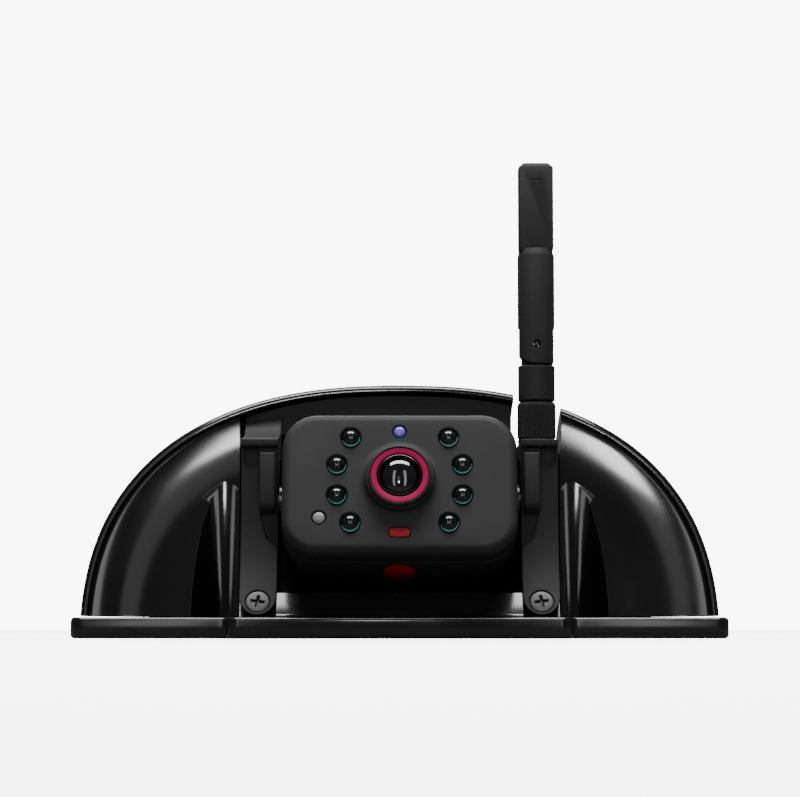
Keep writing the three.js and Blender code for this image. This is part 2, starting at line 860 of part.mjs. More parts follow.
function makeRearHousing() {
  const outer = headSkin([
    [housingFront, 0],
    [headBack - 5, 0.5],
    [headBack - 1.6, 1.8],
    [headBack, 4.2],
  ]);
  const cavity = headSkin([
    [housingFront - 1, headWall],
    [headBack - headWall, headWall + 0.8],
  ]);
  const columns = headScrewPlaces.map(([x, z]) =>
    fromBehind(rod(3.4, housingFront, headBack - 1, 10), x, z),
  );
  const sideBosses = both((side) =>
    rod(5.2, headHalfWidth - 9, headHalfWidth - 0.6, 12).rotateY((side * Math.PI) / 2),
  );
  const pivotHoles = both((side) =>
    rod(pivotShank + slipFit, headHalfWidth - 8, headHalfWidth + 2, 10).rotateY(
      (side * Math.PI) / 2,
    ),
  );
  const screwHoles = headScrewPlaces.flatMap(([x, z]) => [
    fromBehind(rod(headScrewShank + slipFit, housingFront - 1, headBack + 1, 8), x, z),
    fromBehind(rod(headScrewHead + slipFit, headScrewSeat - restGap, headBack + 2, 10), x, z),
  ]);
  const badgeSeat = upright(ovalOutline(slipFit), -headHalfHeight - 1, -headHalfHeight + 0.8);
  const leadHole = fromBehind(rod(leadNeck + slipFit, headBack - 4, headBack + 1, 16), 0, leadHeight);
  return cut(
    join(cut(outer, cavity), ...columns, ...sideBosses),
    ...pivotHoles,
    ...screwHoles,
    badgeSeat,
    leadHole,
  );
}


const ovalHalfWidth = 4.65;
const ovalHalfLength = 7;
const ovalPlace = 2.2; // behind the pivot

// The plain oval under the head.
function ovalOutline(grow) {
  const shape = new THREE.Shape();
  shape.absellipse(0, ovalPlace, ovalHalfWidth + grow, ovalHalfLength + grow, 0, 2 * Math.PI);
  return shape;
}

const makeUndersideBadge = () =>
  upright(ovalOutline(0), -headHalfHeight + 0.1, -headHalfHeight + 0.5);

const makeFaceBadge = () =>
  onFace(upright(roundedRectangle(2.9, 1.3, 1.3, 3), -0.3, 0.2), ...badgePlace);

const makeHeadGasket = () =>
  cut(
    headSkin([
      [bezelBack + restGap, 0.6],
      [housingFront - restGap, 0.6],
    ]),
    headSkin([
      [bezelBack, 1.9],
      [housingFront, 1.9],
    ]),
  );

const makeHeadScrew = ([x, z]) =>
  fromBehind(
    screw(
      headScrewHead,
      headScrewShank,
      headScrewSeat + 1.7,
      headFront + headWall + 1,
      1.7,
    ),
    x,
    z,
  );

const makeLensBezel = () =>
  onFace(
    turned(
      [
        [barrelRadius + slipFit, bossHeight + restGap],
        [bezelOuter, bossHeight + restGap],
        [bezelOuter, bossHeight + 1.5],
        [bezelOuter - 0.3, bossHeight + 1.9],
        [accentOuter + slipFit, bossHeight + 1.9],
        [accentOuter + slipFit, bossHeight + 0.9],
        [barrelRadius + slipFit, bossHeight + 0.9],
        [barrelRadius + slipFit, bossHeight + restGap],
      ],
      32,
    ),
  );

const makeAccentRing = () =>
  onFace(ring(barrelRadius + slipFit, accentOuter, bossHeight + 1.2, bossHeight + 1.7, 32));

const makeLensBarrel = () =>
  onFace(ring(lensRadius + slipFit, barrelRadius, -10, bossHeight + 1.8, 24));

const makeFrontElement = () =>
  onFace(
    turned(
      [
        [0, bossHeight - 1.4],
        [lensRadius, bossHeight - 1.4],
        [lensRadius, bossHeight],
        [lensRadius - 0.7, bossHeight + 1.1],
        [lensRadius - 2.2, bossHeight + 1.9],
        [lensRadius - 3.8, bossHeight + 2.25],
        [0, bossHeight + 2.35],
      ],
      24,
    ),
  );

const makeRearElement = () =>
  onFace(
    turned(
      [
        [0, -4.2],
        [3, -3.8],
        [lensRadius - 0.2, -2.9],
        [lensRadius - 0.2, -1.1],
        [3, -0.4],
        [0, 0],
      ],
      16,
    ),
  );

const makeFilter = () => onFace(rod(lensRadius - 0.2, -8.6, -8.1, 16));

function makeLensHolder() {
  const half = barrelRadius + 1.9;
  const back = -sensorSeat + restGap;
  return onFace(
    cut(
      box(-half, half, -half, half, back, -ledSeat - boardThickness - restGap),
      rod(barrelRadius + slipFit, -10.4, 0, 20),
      box(-6, 6, -6, 6, back - 1, -10.3),
    ),
  );
}

const makeImageSensor = () =>
  onFace(box(-3.8, 3.8, -3, 3, -sensorSeat + restGap, -sensorSeat + 1.4));

const makeSensorBoard = () =>
  onFace(upright(roundedRectangle(13, 13, 1.5, 2), -sensorSeat - boardThickness, -sensorSeat));

const makeLedBoard = () =>
  onFace(
    cut(
      upright(roundedRectangle(22.2, 16.4, 2, 2), -ledSeat - boardThickness, -ledSeat),
      rod(barrelRadius + 0.7, -10, 0, 20),
      ...headScrewPlaces.map(([x, z]) =>
        rod(headScrewPost + slipFit, -10, 0, 10).translate(x, z - opticsLift, 0),
      ),
    ),
  );

const makeLed = (place) =>
  onFace(
    turned(
      [
        [0, -ledSeat + restGap],
        [ledRadius + 0.4, -ledSeat + restGap],
        [ledRadius + 0.4, -3.9],
        [ledRadius, -3.9],
        [ledRadius, -0.9],
        [ledRadius - 0.4, 0.4],
        [ledRadius - 1.3, 1.3],
        [0, 1.6],
      ],
      10,
    ),
    ...place,
  );

// A small round piece on the face with a domed end.
const domed = (radius, back, place) =>
  onFace(
    turned(
      [
        [0, back],
        [radius, back],
        [radius, -0.2],
        [radius * 0.7, 0.3],
        [0, 0.5],
      ],
      8,
    ),
    ...place,
  );

// The pivot screw, its head in the arm and its shank in the head's side boss.
const makePivotScrew = (side) =>
  screw(pivotHead, pivotShank, bracketHalf - 0.4, headHalfWidth - 7.4, 1.9).rotateY(
    (side * Math.PI) / 2,
  );

const makeWasher = (side) =>
  ring(
    pivotShank + slipFit,
    4.6,
    headHalfWidth + restGap,
    headHalfWidth + restGap + washerThickness,
    20,
  ).rotateY((side * Math.PI) / 2);

// ---- Antenna, about the jack's axis with its height counted from the seat ----

const shoulder = hingeHeight - 6.2;
const nutBottom = 0.4;
const nutTop = nutBottom + nutHeight;
const tongueRadius = stemRadius - 1.05;
const bladeStem = stemRadius + 0.05;
const pinRadius = 0.75;
const radiatorRadius = 0.9;

const makeJack = () =>
  turned(
    [
      [0, -12],
      [1.6, -12],
      [1.6, -9.8],
      [jackRadius, -9.8],
      [jackRadius, -1.3],
      [nutRadius - 0.4, -1.3],
      [nutRadius - 0.4, -0.3],
      [jackRadius, -0.3],
      [jackRadius, nutTop - 2.6],
      [0, nutTop - 2.6],
    ],
    20,
  );

const makeJackSeal = () => ring(jackRadius + slipFit, nutRadius - 0.4, -2.1, -1.6, 20);

const makeJackNut = () =>
  cut(rod(jackNutRadius, -7.9, -5 - restGap, 6), rod(jackRadius + slipFit, -9, 0, 20));

// The knurled nut: fine teeth around it, chamfered at the top, with a plain bore.
function makeCouplingNut() {
  const toothed = [];
  for (let point = 0; point < 2 * nutTeeth; point++) {
    const turn = (point / nutTeeth) * Math.PI;
    const radius = nutRadius - (point % 2 ? 0.35 : 0);
    toothed.push([radius * Math.cos(turn), radius * Math.sin(turn)]);
  }
  const envelope = turned(
    [
      [0, nutBottom],
      [nutRadius, nutBottom],
      [nutRadius, nutTop - 0.8],
      [nutRadius - 0.7, nutTop],
      [0, nutTop],
    ],
    24,
  );
  const body = common(upright(toothed, nutBottom - 1, nutTop + 1), envelope);
  return cut(body, rod(jackRadius + slipFit, nutBottom - 1, nutTop + 1, 20));
}

const aboutPin = (radius, reach, sides) =>
  rod(radius, -reach, reach, sides).rotateX(Math.PI / 2).translate(0, 0, hingeHeight);

function makeElbow() {
  const stem = turned(
    [
      [0, nutTop - 2.2],
      [jackRadius, nutTop - 2.2],
      [jackRadius, nutTop + restGap],
      [stemRadius, nutTop + restGap],
      [stemRadius, shoulder],
      [0, shoulder],
    ],
    24,
  );
  const half = tongueThickness / 2;
  const tongue = join(
    box(-tongueRadius, tongueRadius, -half, half, shoulder - 1, hingeHeight),
    aboutPin(tongueRadius, half, 20),
  );
  return cut(join(stem, tongue), aboutPin(pinRadius + slipFit, stemRadius, 12));
}

function makeBlade() {
  const stem = rod(bladeStem, shoulder + restGap, bladeStart, 24);
  const chamfer = 1.3;
  const half = bladeWidth / 2;
  const blade = frontal(
    [
      [-half + 0.6, bladeStart - 1.4],
      [half - 0.6, bladeStart - 1.4],
      [half, bladeStart + 1],
      [half, antennaHeight - chamfer],
      [half - chamfer, antennaHeight],
      [-half + chamfer, antennaHeight],
      [-half, antennaHeight - chamfer],
      [-half, bladeStart + 1],
    ],
    -bladeThickness / 2,
    bladeThickness / 2,
  );
  const slotHalf = tongueThickness / 2 + slipFit;
  const slotTop = hingeHeight + tongueRadius + 0.6;
  const slot = box(-stemRadius - 1, stemRadius + 1, -slotHalf, slotHalf, shoulder, slotTop);
  const foldRelief = cut(
    box(-stemRadius - 2, 0, -stemRadius - 2, stemRadius + 2, shoulder - 1, hingeHeight),
    aboutPin(hingeHeight - shoulder - restGap, stemRadius + 3, 32),
  );
  return cut(
    join(stem, blade),
    slot,
    foldRelief,
    aboutPin(pinRadius + slipFit, stemRadius + 2, 12),
    rod(radiatorRadius + slipFit, slotTop - 1, antennaHeight - 5, 12),
  );
}

const makePin = () => aboutPin(pinRadius, stemRadius - 0.4, 12);

const makeRadiator = () =>
  rod(radiatorRadius, hingeHeight + tongueRadius + 1.2, antennaHeight - 5.6, 12);

// ---- Assembly ----

const looks = {
  glossShell: { color: 0x141416, roughness: 0.12, metalness: 0 },
  mattePlastic: { color: 0x2c2c2e, roughness: 0.6, metalness: 0 },
  blackTrim: { color: 0x0b0b0c, roughness: 0.3, metalness: 0 },
  accent: { color: 0xbe0055, roughness: 0.35, metalness: 0 },
  badgeRed: { color: 0xc01828, roughness: 0.4, metalness: 0 },
  rubber: { color: 0x181818, roughness: 0.85, metalness: 0 },
  screwSteel: { color: 0x85878a, roughness: 0.4, metalness: 1 },
  brass: { color: 0xc49a4a, roughness: 0.3, metalness: 1 },
  copper: { color: 0xb87333, roughness: 0.35, metalness: 1 },
  circuitBoard: { color: 0x14532d, roughness: 0.55, metalness: 0 },
  lensGlass: { color: 0x101418, roughness: 0.02, metalness: 0 },
  ledGlass: { color: 0x0a1416, roughness: 0.05, metalness: 0 },
  sensorBlue: { color: 0x4a46a8, roughness: 0.3, metalness: 0 },
  greyPlastic: { color: 0x77797b, roughness: 0.5, metalness: 0 },
};

const camera = new THREE.Group();
const head = new THREE.Group();
head.position.set(0, pivotY, pivotZ);
head.rotation.x = radians(headTilt);
camera.add(head);
const antenna = new THREE.Group();
antenna.position.set(antennaX, antennaY, seatHeight);
camera.add(antenna);

function piece(parent, name, geometry, look) {
  const mesh = new THREE.Mesh(geometry, new THREE.MeshStandardMaterial(looks[look]));
  mesh.name = name;
  parent.add(mesh);
  return mesh;
}

const sideName = (side) => (side < 0 ? "left" : "right");

piece(camera, "outer_shell", makeShell(), "glossShell");
piece(camera, "base_frame", makeBase(), "glossShell");
piece(camera, "base_gasket", makeBaseGasket(), "rubber");
piece(camera, "head_bracket", makeBracket(), "mattePlastic");
for (const side of [-1, 1]) {
  const screw = piece(camera, `bracket_screw_${sideName(side)}`, makeBracketScrew(), "screwSteel");
  screw.rotation.x = Math.PI / 2 - radians(footTilt);
  screw.position.set(side * footPlace[0], footPlace[1], footPlace[2]);
}
shellScrewPlaces.forEach(([x, y], index) => {
  piece(camera, `shell_screw_${index + 1}`, makeShellScrew(), "screwSteel").position.set(x, y, 0);
});
piece(camera, "radio_board", makeRadioBoard(), "circuitBoard");
piece(camera, "radio_shield_can", makeShieldCan(), "screwSteel");
piece(camera, "power_connector", makePowerConnector(), "greyPlastic");
boardStandoffs.forEach(([x, y]) => {
  const screw = piece(camera, `board_screw_${sideName(x)}`, makeBoardScrew(), "screwSteel");
  screw.position.set(x, y, 0);
});
piece(
  camera,
  "base_cable_grommet",
  grommet(inletRadius, inletRadius + 2.3, 3, baseFloor),
  "rubber",
).position.set(...inletPlace, 0);
piece(camera, "antenna_pigtail", makePigtail(), "rubber");

piece(head, "head_front_bezel", makeFrontBezel(), "mattePlastic");
piece(head, "head_rear_housing", makeRearHousing(), "mattePlastic");
piece(head, "head_gasket", makeHeadGasket(), "rubber");
headScrewPlaces.forEach((place, index) => {
  piece(head, `head_screw_${index + 1}`, makeHeadScrew(place), "screwSteel");
});
piece(head, "lens_bezel", makeLensBezel(), "blackTrim");
piece(head, "lens_accent_ring", makeAccentRing(), "accent");
piece(head, "lens_barrel", makeLensBarrel(), "blackTrim");
piece(head, "front_lens_element", makeFrontElement(), "lensGlass");
piece(head, "rear_lens_element", makeRearElement(), "lensGlass");
piece(head, "infrared_cut_filter", makeFilter(), "lensGlass");
piece(head, "lens_holder", makeLensHolder(), "blackTrim");
piece(head, "image_sensor", makeImageSensor(), "ledGlass");
piece(head, "sensor_board", makeSensorBoard(), "circuitBoard");
piece(head, "led_board", makeLedBoard(), "circuitBoard");
ledPlaces.forEach((place, index) => {
  piece(head, `infrared_led_${index + 1}`, makeLed(place), "ledGlass");
});
piece(head, "light_sensor", domed(lightSensorRadius, -ledSeat + restGap, lightSensorPlace), "sensorBlue");
piece(head, "microphone_dome", domed(microphoneRadius, -2.8, microphonePlace), "greyPlastic");
piece(head, "face_badge", makeFaceBadge(), "badgeRed");
piece(head, "underside_badge", makeUndersideBadge(), "badgeRed");
const headGrommet = piece(
  head,
  "head_cable_grommet",
  grommet(leadNeck, leadNeck + 1.4, 2, headWall),
  "rubber",
);
headGrommet.rotation.x = Math.PI / 2;
headGrommet.position.set(0, headBack, leadHeight);
for (const side of [-1, 1]) {
  piece(head, `pivot_screw_${sideName(side)}`, makePivotScrew(side), "screwSteel");
  piece(head, `friction_washer_${sideName(side)}`, makeWasher(side), "greyPlastic");
}

piece(antenna, "antenna_jack", makeJack(), "brass");
piece(antenna, "antenna_jack_seal", makeJackSeal(), "rubber");
piece(antenna, "antenna_jack_nut", makeJackNut(), "brass");
piece(antenna, "antenna_coupling_nut", makeCouplingNut(), "mattePlastic");
piece(antenna, "antenna_elbow", makeElbow(), "mattePlastic");
piece(antenna, "antenna_hinge_pin", makePin(), "screwSteel");
piece(antenna, "antenna_blade", makeBlade(), "mattePlastic");
piece(antenna, "antenna_radiator", makeRadiator(), "copper");

export default camera;
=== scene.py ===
# Vehicle rear-view observation camera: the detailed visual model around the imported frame.
import json
import math

import bmesh
import bpy
from mathutils import Matrix, Vector


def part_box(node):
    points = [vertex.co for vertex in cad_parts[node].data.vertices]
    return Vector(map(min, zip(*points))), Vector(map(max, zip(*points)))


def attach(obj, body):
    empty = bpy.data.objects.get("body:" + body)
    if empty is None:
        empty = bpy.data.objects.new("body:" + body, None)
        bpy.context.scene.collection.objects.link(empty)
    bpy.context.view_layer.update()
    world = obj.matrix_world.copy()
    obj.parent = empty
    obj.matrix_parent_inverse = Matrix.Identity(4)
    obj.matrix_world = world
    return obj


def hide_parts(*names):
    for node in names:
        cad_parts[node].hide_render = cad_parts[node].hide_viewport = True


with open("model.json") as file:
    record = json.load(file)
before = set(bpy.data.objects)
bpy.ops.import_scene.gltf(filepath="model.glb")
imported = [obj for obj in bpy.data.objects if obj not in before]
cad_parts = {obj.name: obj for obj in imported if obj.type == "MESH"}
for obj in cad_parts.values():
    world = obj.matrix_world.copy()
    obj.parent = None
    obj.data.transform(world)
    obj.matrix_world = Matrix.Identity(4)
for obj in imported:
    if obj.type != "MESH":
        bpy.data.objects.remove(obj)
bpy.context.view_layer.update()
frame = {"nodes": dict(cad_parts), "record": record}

MM = 0.001

# ---- Places taken from the frame, in metres ----

base_lo, base_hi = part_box("base_frame")
shell_lo, shell_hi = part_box("outer_shell")
bracket_lo, bracket_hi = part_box("head_bracket")
bezel_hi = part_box("head_front_bezel")[1]
nut_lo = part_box("antenna_coupling_nut")[0]
blade_lo, blade_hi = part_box("antenna_blade")
joints = {joint["name"]: joint for joint in frame["record"]["behaviour"]["joints"]}
pivot = Vector(joints["head_tilt"]["pos_m"])
hinge = Vector(joints["antenna_fold"]["pos_m"])

# ---- Shape values that the frame doesn't state ----

BASE_TOP = 6 * MM
LIP_HALF = 48.3 * MM
LIP_REACH = 9 * MM
WING_SWEEP = 3.5 * MM
CORNER = 3.6 * MM
FLANGE = 2.4 * MM
WALL = 2.4 * MM
LEAN = 0.24
ARCH_POWER = 2.4
TAIL_POWER = 2.6
TAIL_ROUND = 2.0
CREST_POWER = 1.6
CREST_ROUND = 1.35
RECESS_HALF = 45.6 * MM
RECESS_DRAFT = 1 * MM
RECESS_BACK = pivot.y + 30.5 * MM
POCKET_RADIUS = 9.8 * MM
POCKET_X = RECESS_HALF + 4 * MM
POCKET_WALL = 1.6 * MM
POCKET_BEHIND_FACE = 2.9 * MM
MOUNTING_HOLE = 2.3 * MM
SPOT_FACE = 5 * MM
SPOT_FACE_DEPTH = 0.3 * MM
INSERT_GAP = 0.8 * MM
SLIP_FIT = 0.3 * MM
BRACKET_WALL = 2.5 * MM
INLET_RADIUS = 7 * MM
PAD_DEPTH = 6.5 * MM
LEAD_WINDOW_TOP = 46 * MM
LEAD_HOLE_HEIGHT = 24 * MM
NOTCH_HALF = 6.9 * MM
NOTCH_CORNER = 3.2 * MM
SEAT = nut_lo.z - 0.4 * MM
LUG_TOP = SEAT - 3.7 * MM
APRON_TOP = base_hi.z
GASKET_WIDTH = 1.6 * MM
HEAD_TILT = math.radians(-17)
HEAD_HALF_HEIGHT = 20.7 * MM
HEAD_CORNER = 10 * MM
HEAD_FRONT = -16 * MM
HEAD_BACK = HEAD_FRONT + 35 * MM
BEZEL_BACK = HEAD_FRONT + 8 * MM
HOUSING_FRONT = BEZEL_BACK + 1.1 * MM
OPTICS_LIFT = 0.5 * MM
ARM_WIDTH = 10.4 * MM
ARM_FRONT = pivot.y - 4.3 * MM
BROW_Y = pivot.y + 17 * MM
FOOT_TILT = math.radians(30)

wing_front = base_lo.y + LIP_REACH
tail = base_hi.y
base_half = base_hi.x
shell_half = base_half - FLANGE
shell_top = shell_hi.z
face_at_base = wing_front + WING_SWEEP + CORNER
face_at_zero = face_at_base - LEAN * BASE_TOP
pocket_y = face_at_base + POCKET_BEHIND_FACE
mounting_x = (RECESS_HALF + POCKET_WALL + POCKET_X + POCKET_RADIUS) / 2
bracket_half = bracket_hi.x
arm_inner = bracket_half - ARM_WIDTH
arm_middle = bracket_half - ARM_WIDTH / 2
head_half = bezel_hi.x
antenna_x = hinge.x
antenna_y = hinge.y

on_head = Matrix.Translation(pivot) @ Matrix.Rotation(HEAD_TILT, 4, "X")


# ---- Mesh tools ----

def made(name, points, faces):
    """A piece from points and faces, smooth with its sharp edges kept."""
    mesh = bpy.data.meshes.new(name)
    mesh.from_pydata([tuple(point) for point in points], [], faces)
    piece = bpy.data.objects.new(name, mesh)
    bpy.context.scene.collection.objects.link(piece)
    return tidied(piece)


def tidied(piece, angle=32):
    """Merges doubled points, turns the faces out and marks the sharp edges."""
    work = bmesh.new()
    work.from_mesh(piece.data)
    bmesh.ops.remove_doubles(work, verts=work.verts, dist=2e-7)
    bmesh.ops.recalc_face_normals(work, faces=work.faces)
    work.to_mesh(piece.data)
    work.free()
    piece.data.polygons.foreach_set("use_smooth", [True] * len(piece.data.polygons))
    piece.data.set_sharp_from_angle(angle=math.radians(angle))
    return piece


def loft(name, rings, capped=True):
    """A skin over rings that hold the same number of points."""
    count = len(rings[0])
    points = [point for row in rings for point in row]
    faces = []
    for row in range(len(rings) - 1):
        for column in range(count):
            a = row * count + column
            b = row * count + (column + 1) % count
            faces.append((a, b, b + count, a + count))
    if capped:
        faces.append(tuple(reversed(range(count))))
        last = (len(rings) - 1) * count
        faces.append(tuple(range(last, last + count)))
    return made(name, points, faces)


def lathe(name, profile, sides=64):
    """A profile of (radius, height) points in millimetres turned about +Z; radius 0 closes it."""
    rings = []
    for radius, height in profile:
        rings.append([
            Vector((
                max(radius, 1e-4) * MM * math.cos(2 * math.pi * side / sides),
                max(radius, 1e-4) * MM * math.sin(2 * math.pi * side / sides),
                height * MM,
            ))
            for side in range(sides)
        ])
    closed = profile[0] == profile[-1]
    return loft(name, rings, capped=not closed)


def prism(name, outline, low, high, axis="Z"):
    """An outline of pairs in metres carried along an axis."""
    place = {
        "X": lambda a, b, c: Vector((c, a, b)),
        "Y": lambda a, b, c: Vector((a, c, b)),
        "Z": lambda a, b, c: Vector((a, b, c)),
    }[axis]
    rings = [[place(a, b, level) for a, b in outline] for level in (low, high)]
    return loft(name, rings)


def block(name, x0, x1, y0, y1, z0, z1):
    return prism(name, [(x0, y0), (x1, y0), (x1, y1), (x0, y1)], z0, z1)


def rod(name, radius, z0, z1, sides=48):
    """A cylinder about +Z, in metres."""
    scale = 1 / MM
    return lathe(
        name,
        [(radius * scale, z0 * scale), (radius * scale, z1 * scale)],
        sides,
    )


def moved(piece, matrix):
    """Puts a transform into the piece's mesh."""
    piece.data.transform(matrix)
    return tidied(piece)


def at(x=0.0, y=0.0, z=0.0):
    return Matrix.Translation((x, y, z))


def turned_x(degrees):
    return Matrix.Rotation(math.radians(degrees), 4, "X")


def turned_y(degrees):
    return Matrix.Rotation(math.radians(degrees), 4, "Y")


def baked(piece):
    """Applies the piece's modifiers."""
    graph = bpy.context.evaluated_depsgraph_get()
    piece.data = bpy.data.meshes.new_from_object(piece.evaluated_get(graph))
    piece.modifiers.clear()
    return piece


def carve(piece, tools, operation="DIFFERENCE"):
    """Cuts, joins or intersects a piece with others, which are used up."""
    for tool in tools:
        step = piece.modifiers.new("carve", "BOOLEAN")
        step.operation = operation
        step.object = tool
        step.solver = "MANIFOLD"
    baked(piece)
    for tool in tools:
        bpy.data.objects.remove(tool)
    return tidied(piece)


def softened(piece, width, segments=3, angle=35):
    """Rounds the edges sharper than an angle."""
    step = piece.modifiers.new("round", "BEVEL")
    step.width = width
    step.segments = segments
    step.limit_method = "ANGLE"
    step.angle_limit = math.radians(angle)
    return tidied(baked(piece))


def rounded(half_width, half_height, radius, steps=10):
    """The points of a rectangle with round corners."""
    points = []
    for quarter in range(4):
        x = (half_width - radius) * (1 if quarter in (0, 3) else -1)
        y = (half_height - radius) * (1 if quarter < 2 else -1)
        for step in range(steps + 1):
            turn = (quarter + step / steps) * math.pi / 2
            points.append((x + radius * math.cos(turn), y + radius * math.sin(turn)))
    return points


def finished(piece, body, slot, material, *nodes):
    """Gives a piece its material and its body and hides the nodes it stands for; the slot is not used."""
    piece.data.materials.clear()
    piece.data.materials.append(material)
    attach(piece, body)
    if nodes:
        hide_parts(*nodes)
    return piece


# ---- Materials ----

def link(tree, source, output, target, socket):
    tree.links.new(source.outputs[output], target.inputs[socket])


def noise(tree, scale, detail=3.0, roughness=0.5):
    """Noise fixed to the piece; scale is in cycles per metre."""
    place = tree.nodes.new("ShaderNodeTexCoord")
    grain = tree.nodes.new("ShaderNodeTexNoise")
    grain.inputs["Scale"].default_value = scale
    grain.inputs["Detail"].default_value = detail
    grain.inputs["Roughness"].default_value = roughness
    link(tree, place, "Object", grain, "Vector")
    return grain


def ramp(tree, source, output, low, high):
    """Maps a 0 to 1 value to a range."""
    node = tree.nodes.new("ShaderNodeMapRange")
    node.inputs["From Min"].default_value = 0.3
    node.inputs["From Max"].default_value = 0.7
    node.inputs["To Min"].default_value = low
    node.inputs["To Max"].default_value = high
    link(tree, source, output, node, "Value")
    return node


def mixed(tree, source, output, low, high):
    """Blends two colours by a value."""
    node = tree.nodes.new("ShaderNodeValToRGB")
    node.color_ramp.elements[0].position = 0.35
    node.color_ramp.elements[1].position = 0.65
    node.color_ramp.elements[0].color = (*low, 1)
    node.color_ramp.elements[1].color = (*high, 1)
    link(tree, source, output, node, "Fac")
    return node


def plain(name, low, high, roughness, grain=2200.0, bump=0.12, depth=0.04, edge=0.0,
          metallic=0.0, blotch=60.0, specular=0.5, ior=1.5):
    """A moulded or machined surface: blotchy colour, uneven gloss, fine grain, soft edges."""
    material = bpy.data.materials.new(name)
    material.use_nodes = True
    tree = material.node_tree
    shader = tree.nodes["Principled BSDF"]
    shader.inputs["Metallic"].default_value = metallic
    shader.inputs["IOR"].default_value = ior
    shader.inputs["Specular IOR Level"].default_value = specular
    cloud = noise(tree, blotch, 4.0)
    link(tree, mixed(tree, cloud, "Fac", low, high), "Color", shader, "Base Color")
    link(tree, ramp(tree, cloud, "Fac", *roughness), "Result", shader, "Roughness")
    fine = noise(tree, grain, 2.0)
    relief = tree.nodes.new("ShaderNodeBump")
    relief.inputs["Strength"].default_value = bump
    relief.inputs["Distance"].default_value = depth * MM
    link(tree, fine, "Fac", relief, "Height")
    if edge:
        soft = tree.nodes.new("ShaderNodeBevel")
        soft.samples = 4
        soft.inputs["Radius"].default_value = edge * MM
        link(tree, soft, "Normal", relief, "Normal")
    link(tree, relief, "Normal", shader, "Normal")
    return material


MATTE = plain("matte_abs", (0.017, 0.017, 0.0178), (0.021, 0.021, 0.022), (0.6, 0.7),
              grain=3200, bump=0.35, depth=0.05, edge=0.3, specular=0.25)
GLOSS = plain("gloss_abs", (0.0035, 0.0035, 0.0038), (0.0045, 0.0045, 0.005), (0.07, 0.11),
              grain=900, bump=0.03, depth=0.02, edge=0.35, blotch=35)
GLOSS_BASE = plain("gloss_abs_base", (0.006, 0.006, 0.0065), (0.008, 0.008, 0.0085), (0.12, 0.18),
                   grain=1200, bump=0.05, depth=0.02, edge=0.35)
SATIN = plain("satin_black", (0.004, 0.004, 0.004), (0.006, 0.006, 0.006), (0.22, 0.3),
              grain=2600, bump=0.08, edge=0.15)
ACCENT = plain("accent_magenta", (0.26, 0.0, 0.045), (0.3, 0.0, 0.055), (0.5, 0.6),
               grain=2600, bump=0.06, specular=0.15)
RED = plain("badge_red", (0.27, 0.008, 0.014), (0.32, 0.01, 0.018), (0.5, 0.6), grain=2600, bump=0.08,
            specular=0.2)
RED_DARK = plain("badge_red_under", (0.42, 0.001, 0.006), (0.5, 0.002, 0.009), (0.4, 0.5),
                 grain=2600, bump=0.08)
RUBBER = plain("rubber", (0.012, 0.012, 0.012), (0.018, 0.018, 0.018), (0.75, 0.9),
               grain=1800, bump=0.4, depth=0.06)
STEEL_GREY = plain("screw_grey", (0.05, 0.05, 0.052), (0.07, 0.07, 0.072), (0.38, 0.55),
                   grain=2600, bump=0.12, metallic=0.55, edge=0.08)
STEEL = plain("steel", (0.5, 0.5, 0.51), (0.6, 0.6, 0.61), (0.25, 0.4), metallic=1.0)
BRASS = plain("brass", (0.58, 0.4, 0.15), (0.68, 0.48, 0.2), (0.22, 0.36), metallic=1.0)
COPPER = plain("copper", (0.6, 0.27, 0.12), (0.7, 0.33, 0.16), (0.25, 0.4), metallic=1.0)
BOARD = plain("solder_mask", (0.012, 0.09, 0.035), (0.02, 0.13, 0.05), (0.35, 0.5), grain=1500, bump=0.2)
GREY = plain("grey_plastic", (0.16, 0.16, 0.165), (0.2, 0.2, 0.205), (0.35, 0.5), bump=0.15)
BLUE = plain("sensor_blue", (0.1, 0.09, 0.42), (0.16, 0.14, 0.55), (0.12, 0.2), bump=0.04)
LED_RESIN = plain("led_resin", (0.002, 0.004, 0.005), (0.004, 0.007, 0.008), (0.03, 0.07),
                  grain=900, bump=0.02, depth=0.01)
# Teal for the crescent at each LED dome's lower edge: a painted glint of light caught in the dome, not a
# colour the LED has.
LED_PAINTED_GLINT = plain("led_teal", (0.12, 0.42, 0.42), (0.2, 0.55, 0.52), (0.2, 0.3), bump=0.04)
GLASS = plain("lens_glass", (0.002, 0.002, 0.003), (0.003, 0.003, 0.004), (0.01, 0.02),
              grain=600, bump=0.01, depth=0.01, ior=1.7)


# ---- Shell ----

def station(share, inset, y0, y1, columns):
    """One arch of the shell's skin."""
    half = shell_half * (1 - share ** TAIL_POWER) ** (1 / TAIL_ROUND) - inset
    top = shell_top * (1 - share ** CREST_POWER) ** (1 / CREST_ROUND) - inset
    lean = LEAN * (1 - share)
    points = []
    for column in range(columns + 1):
        turn = math.pi * column / columns
        across = math.copysign(abs(math.cos(turn)) ** (2 / ARCH_POWER), math.cos(turn))
        z = top * abs(math.sin(turn)) ** (2 / ARCH_POWER)
        points.append(Vector((half * across, y0 + (y1 - y0) * share + lean * z, z)))
    return points


# How far the front face lies behind the rim's foremost edge, by distance in from the outline:
# a rounded rim, a small step, a cove and then the flat of the wing.
RIM = [
    (0.0, 1.6), (0.12, 1.05), (0.35, 0.55), (0.7, 0.2), (1.1, 0.04), (1.5, 0.0), (1.9, 0.12),
    (2.2, 0.42), (2.45, 0.85), (2.8, 1.15), (3.4, 1.31), (4.5, 1.56), (6.0, 1.87), (8.0, 2.24),
    (10.0, 2.56), (12.0, 2.84), (14.5, 3.1), (17.0, 3.31), (20.0, 3.46), (23.0, 3.5), (30.0, 3.5),
    (45.0, 3.5), (62.0, 3.5),
]


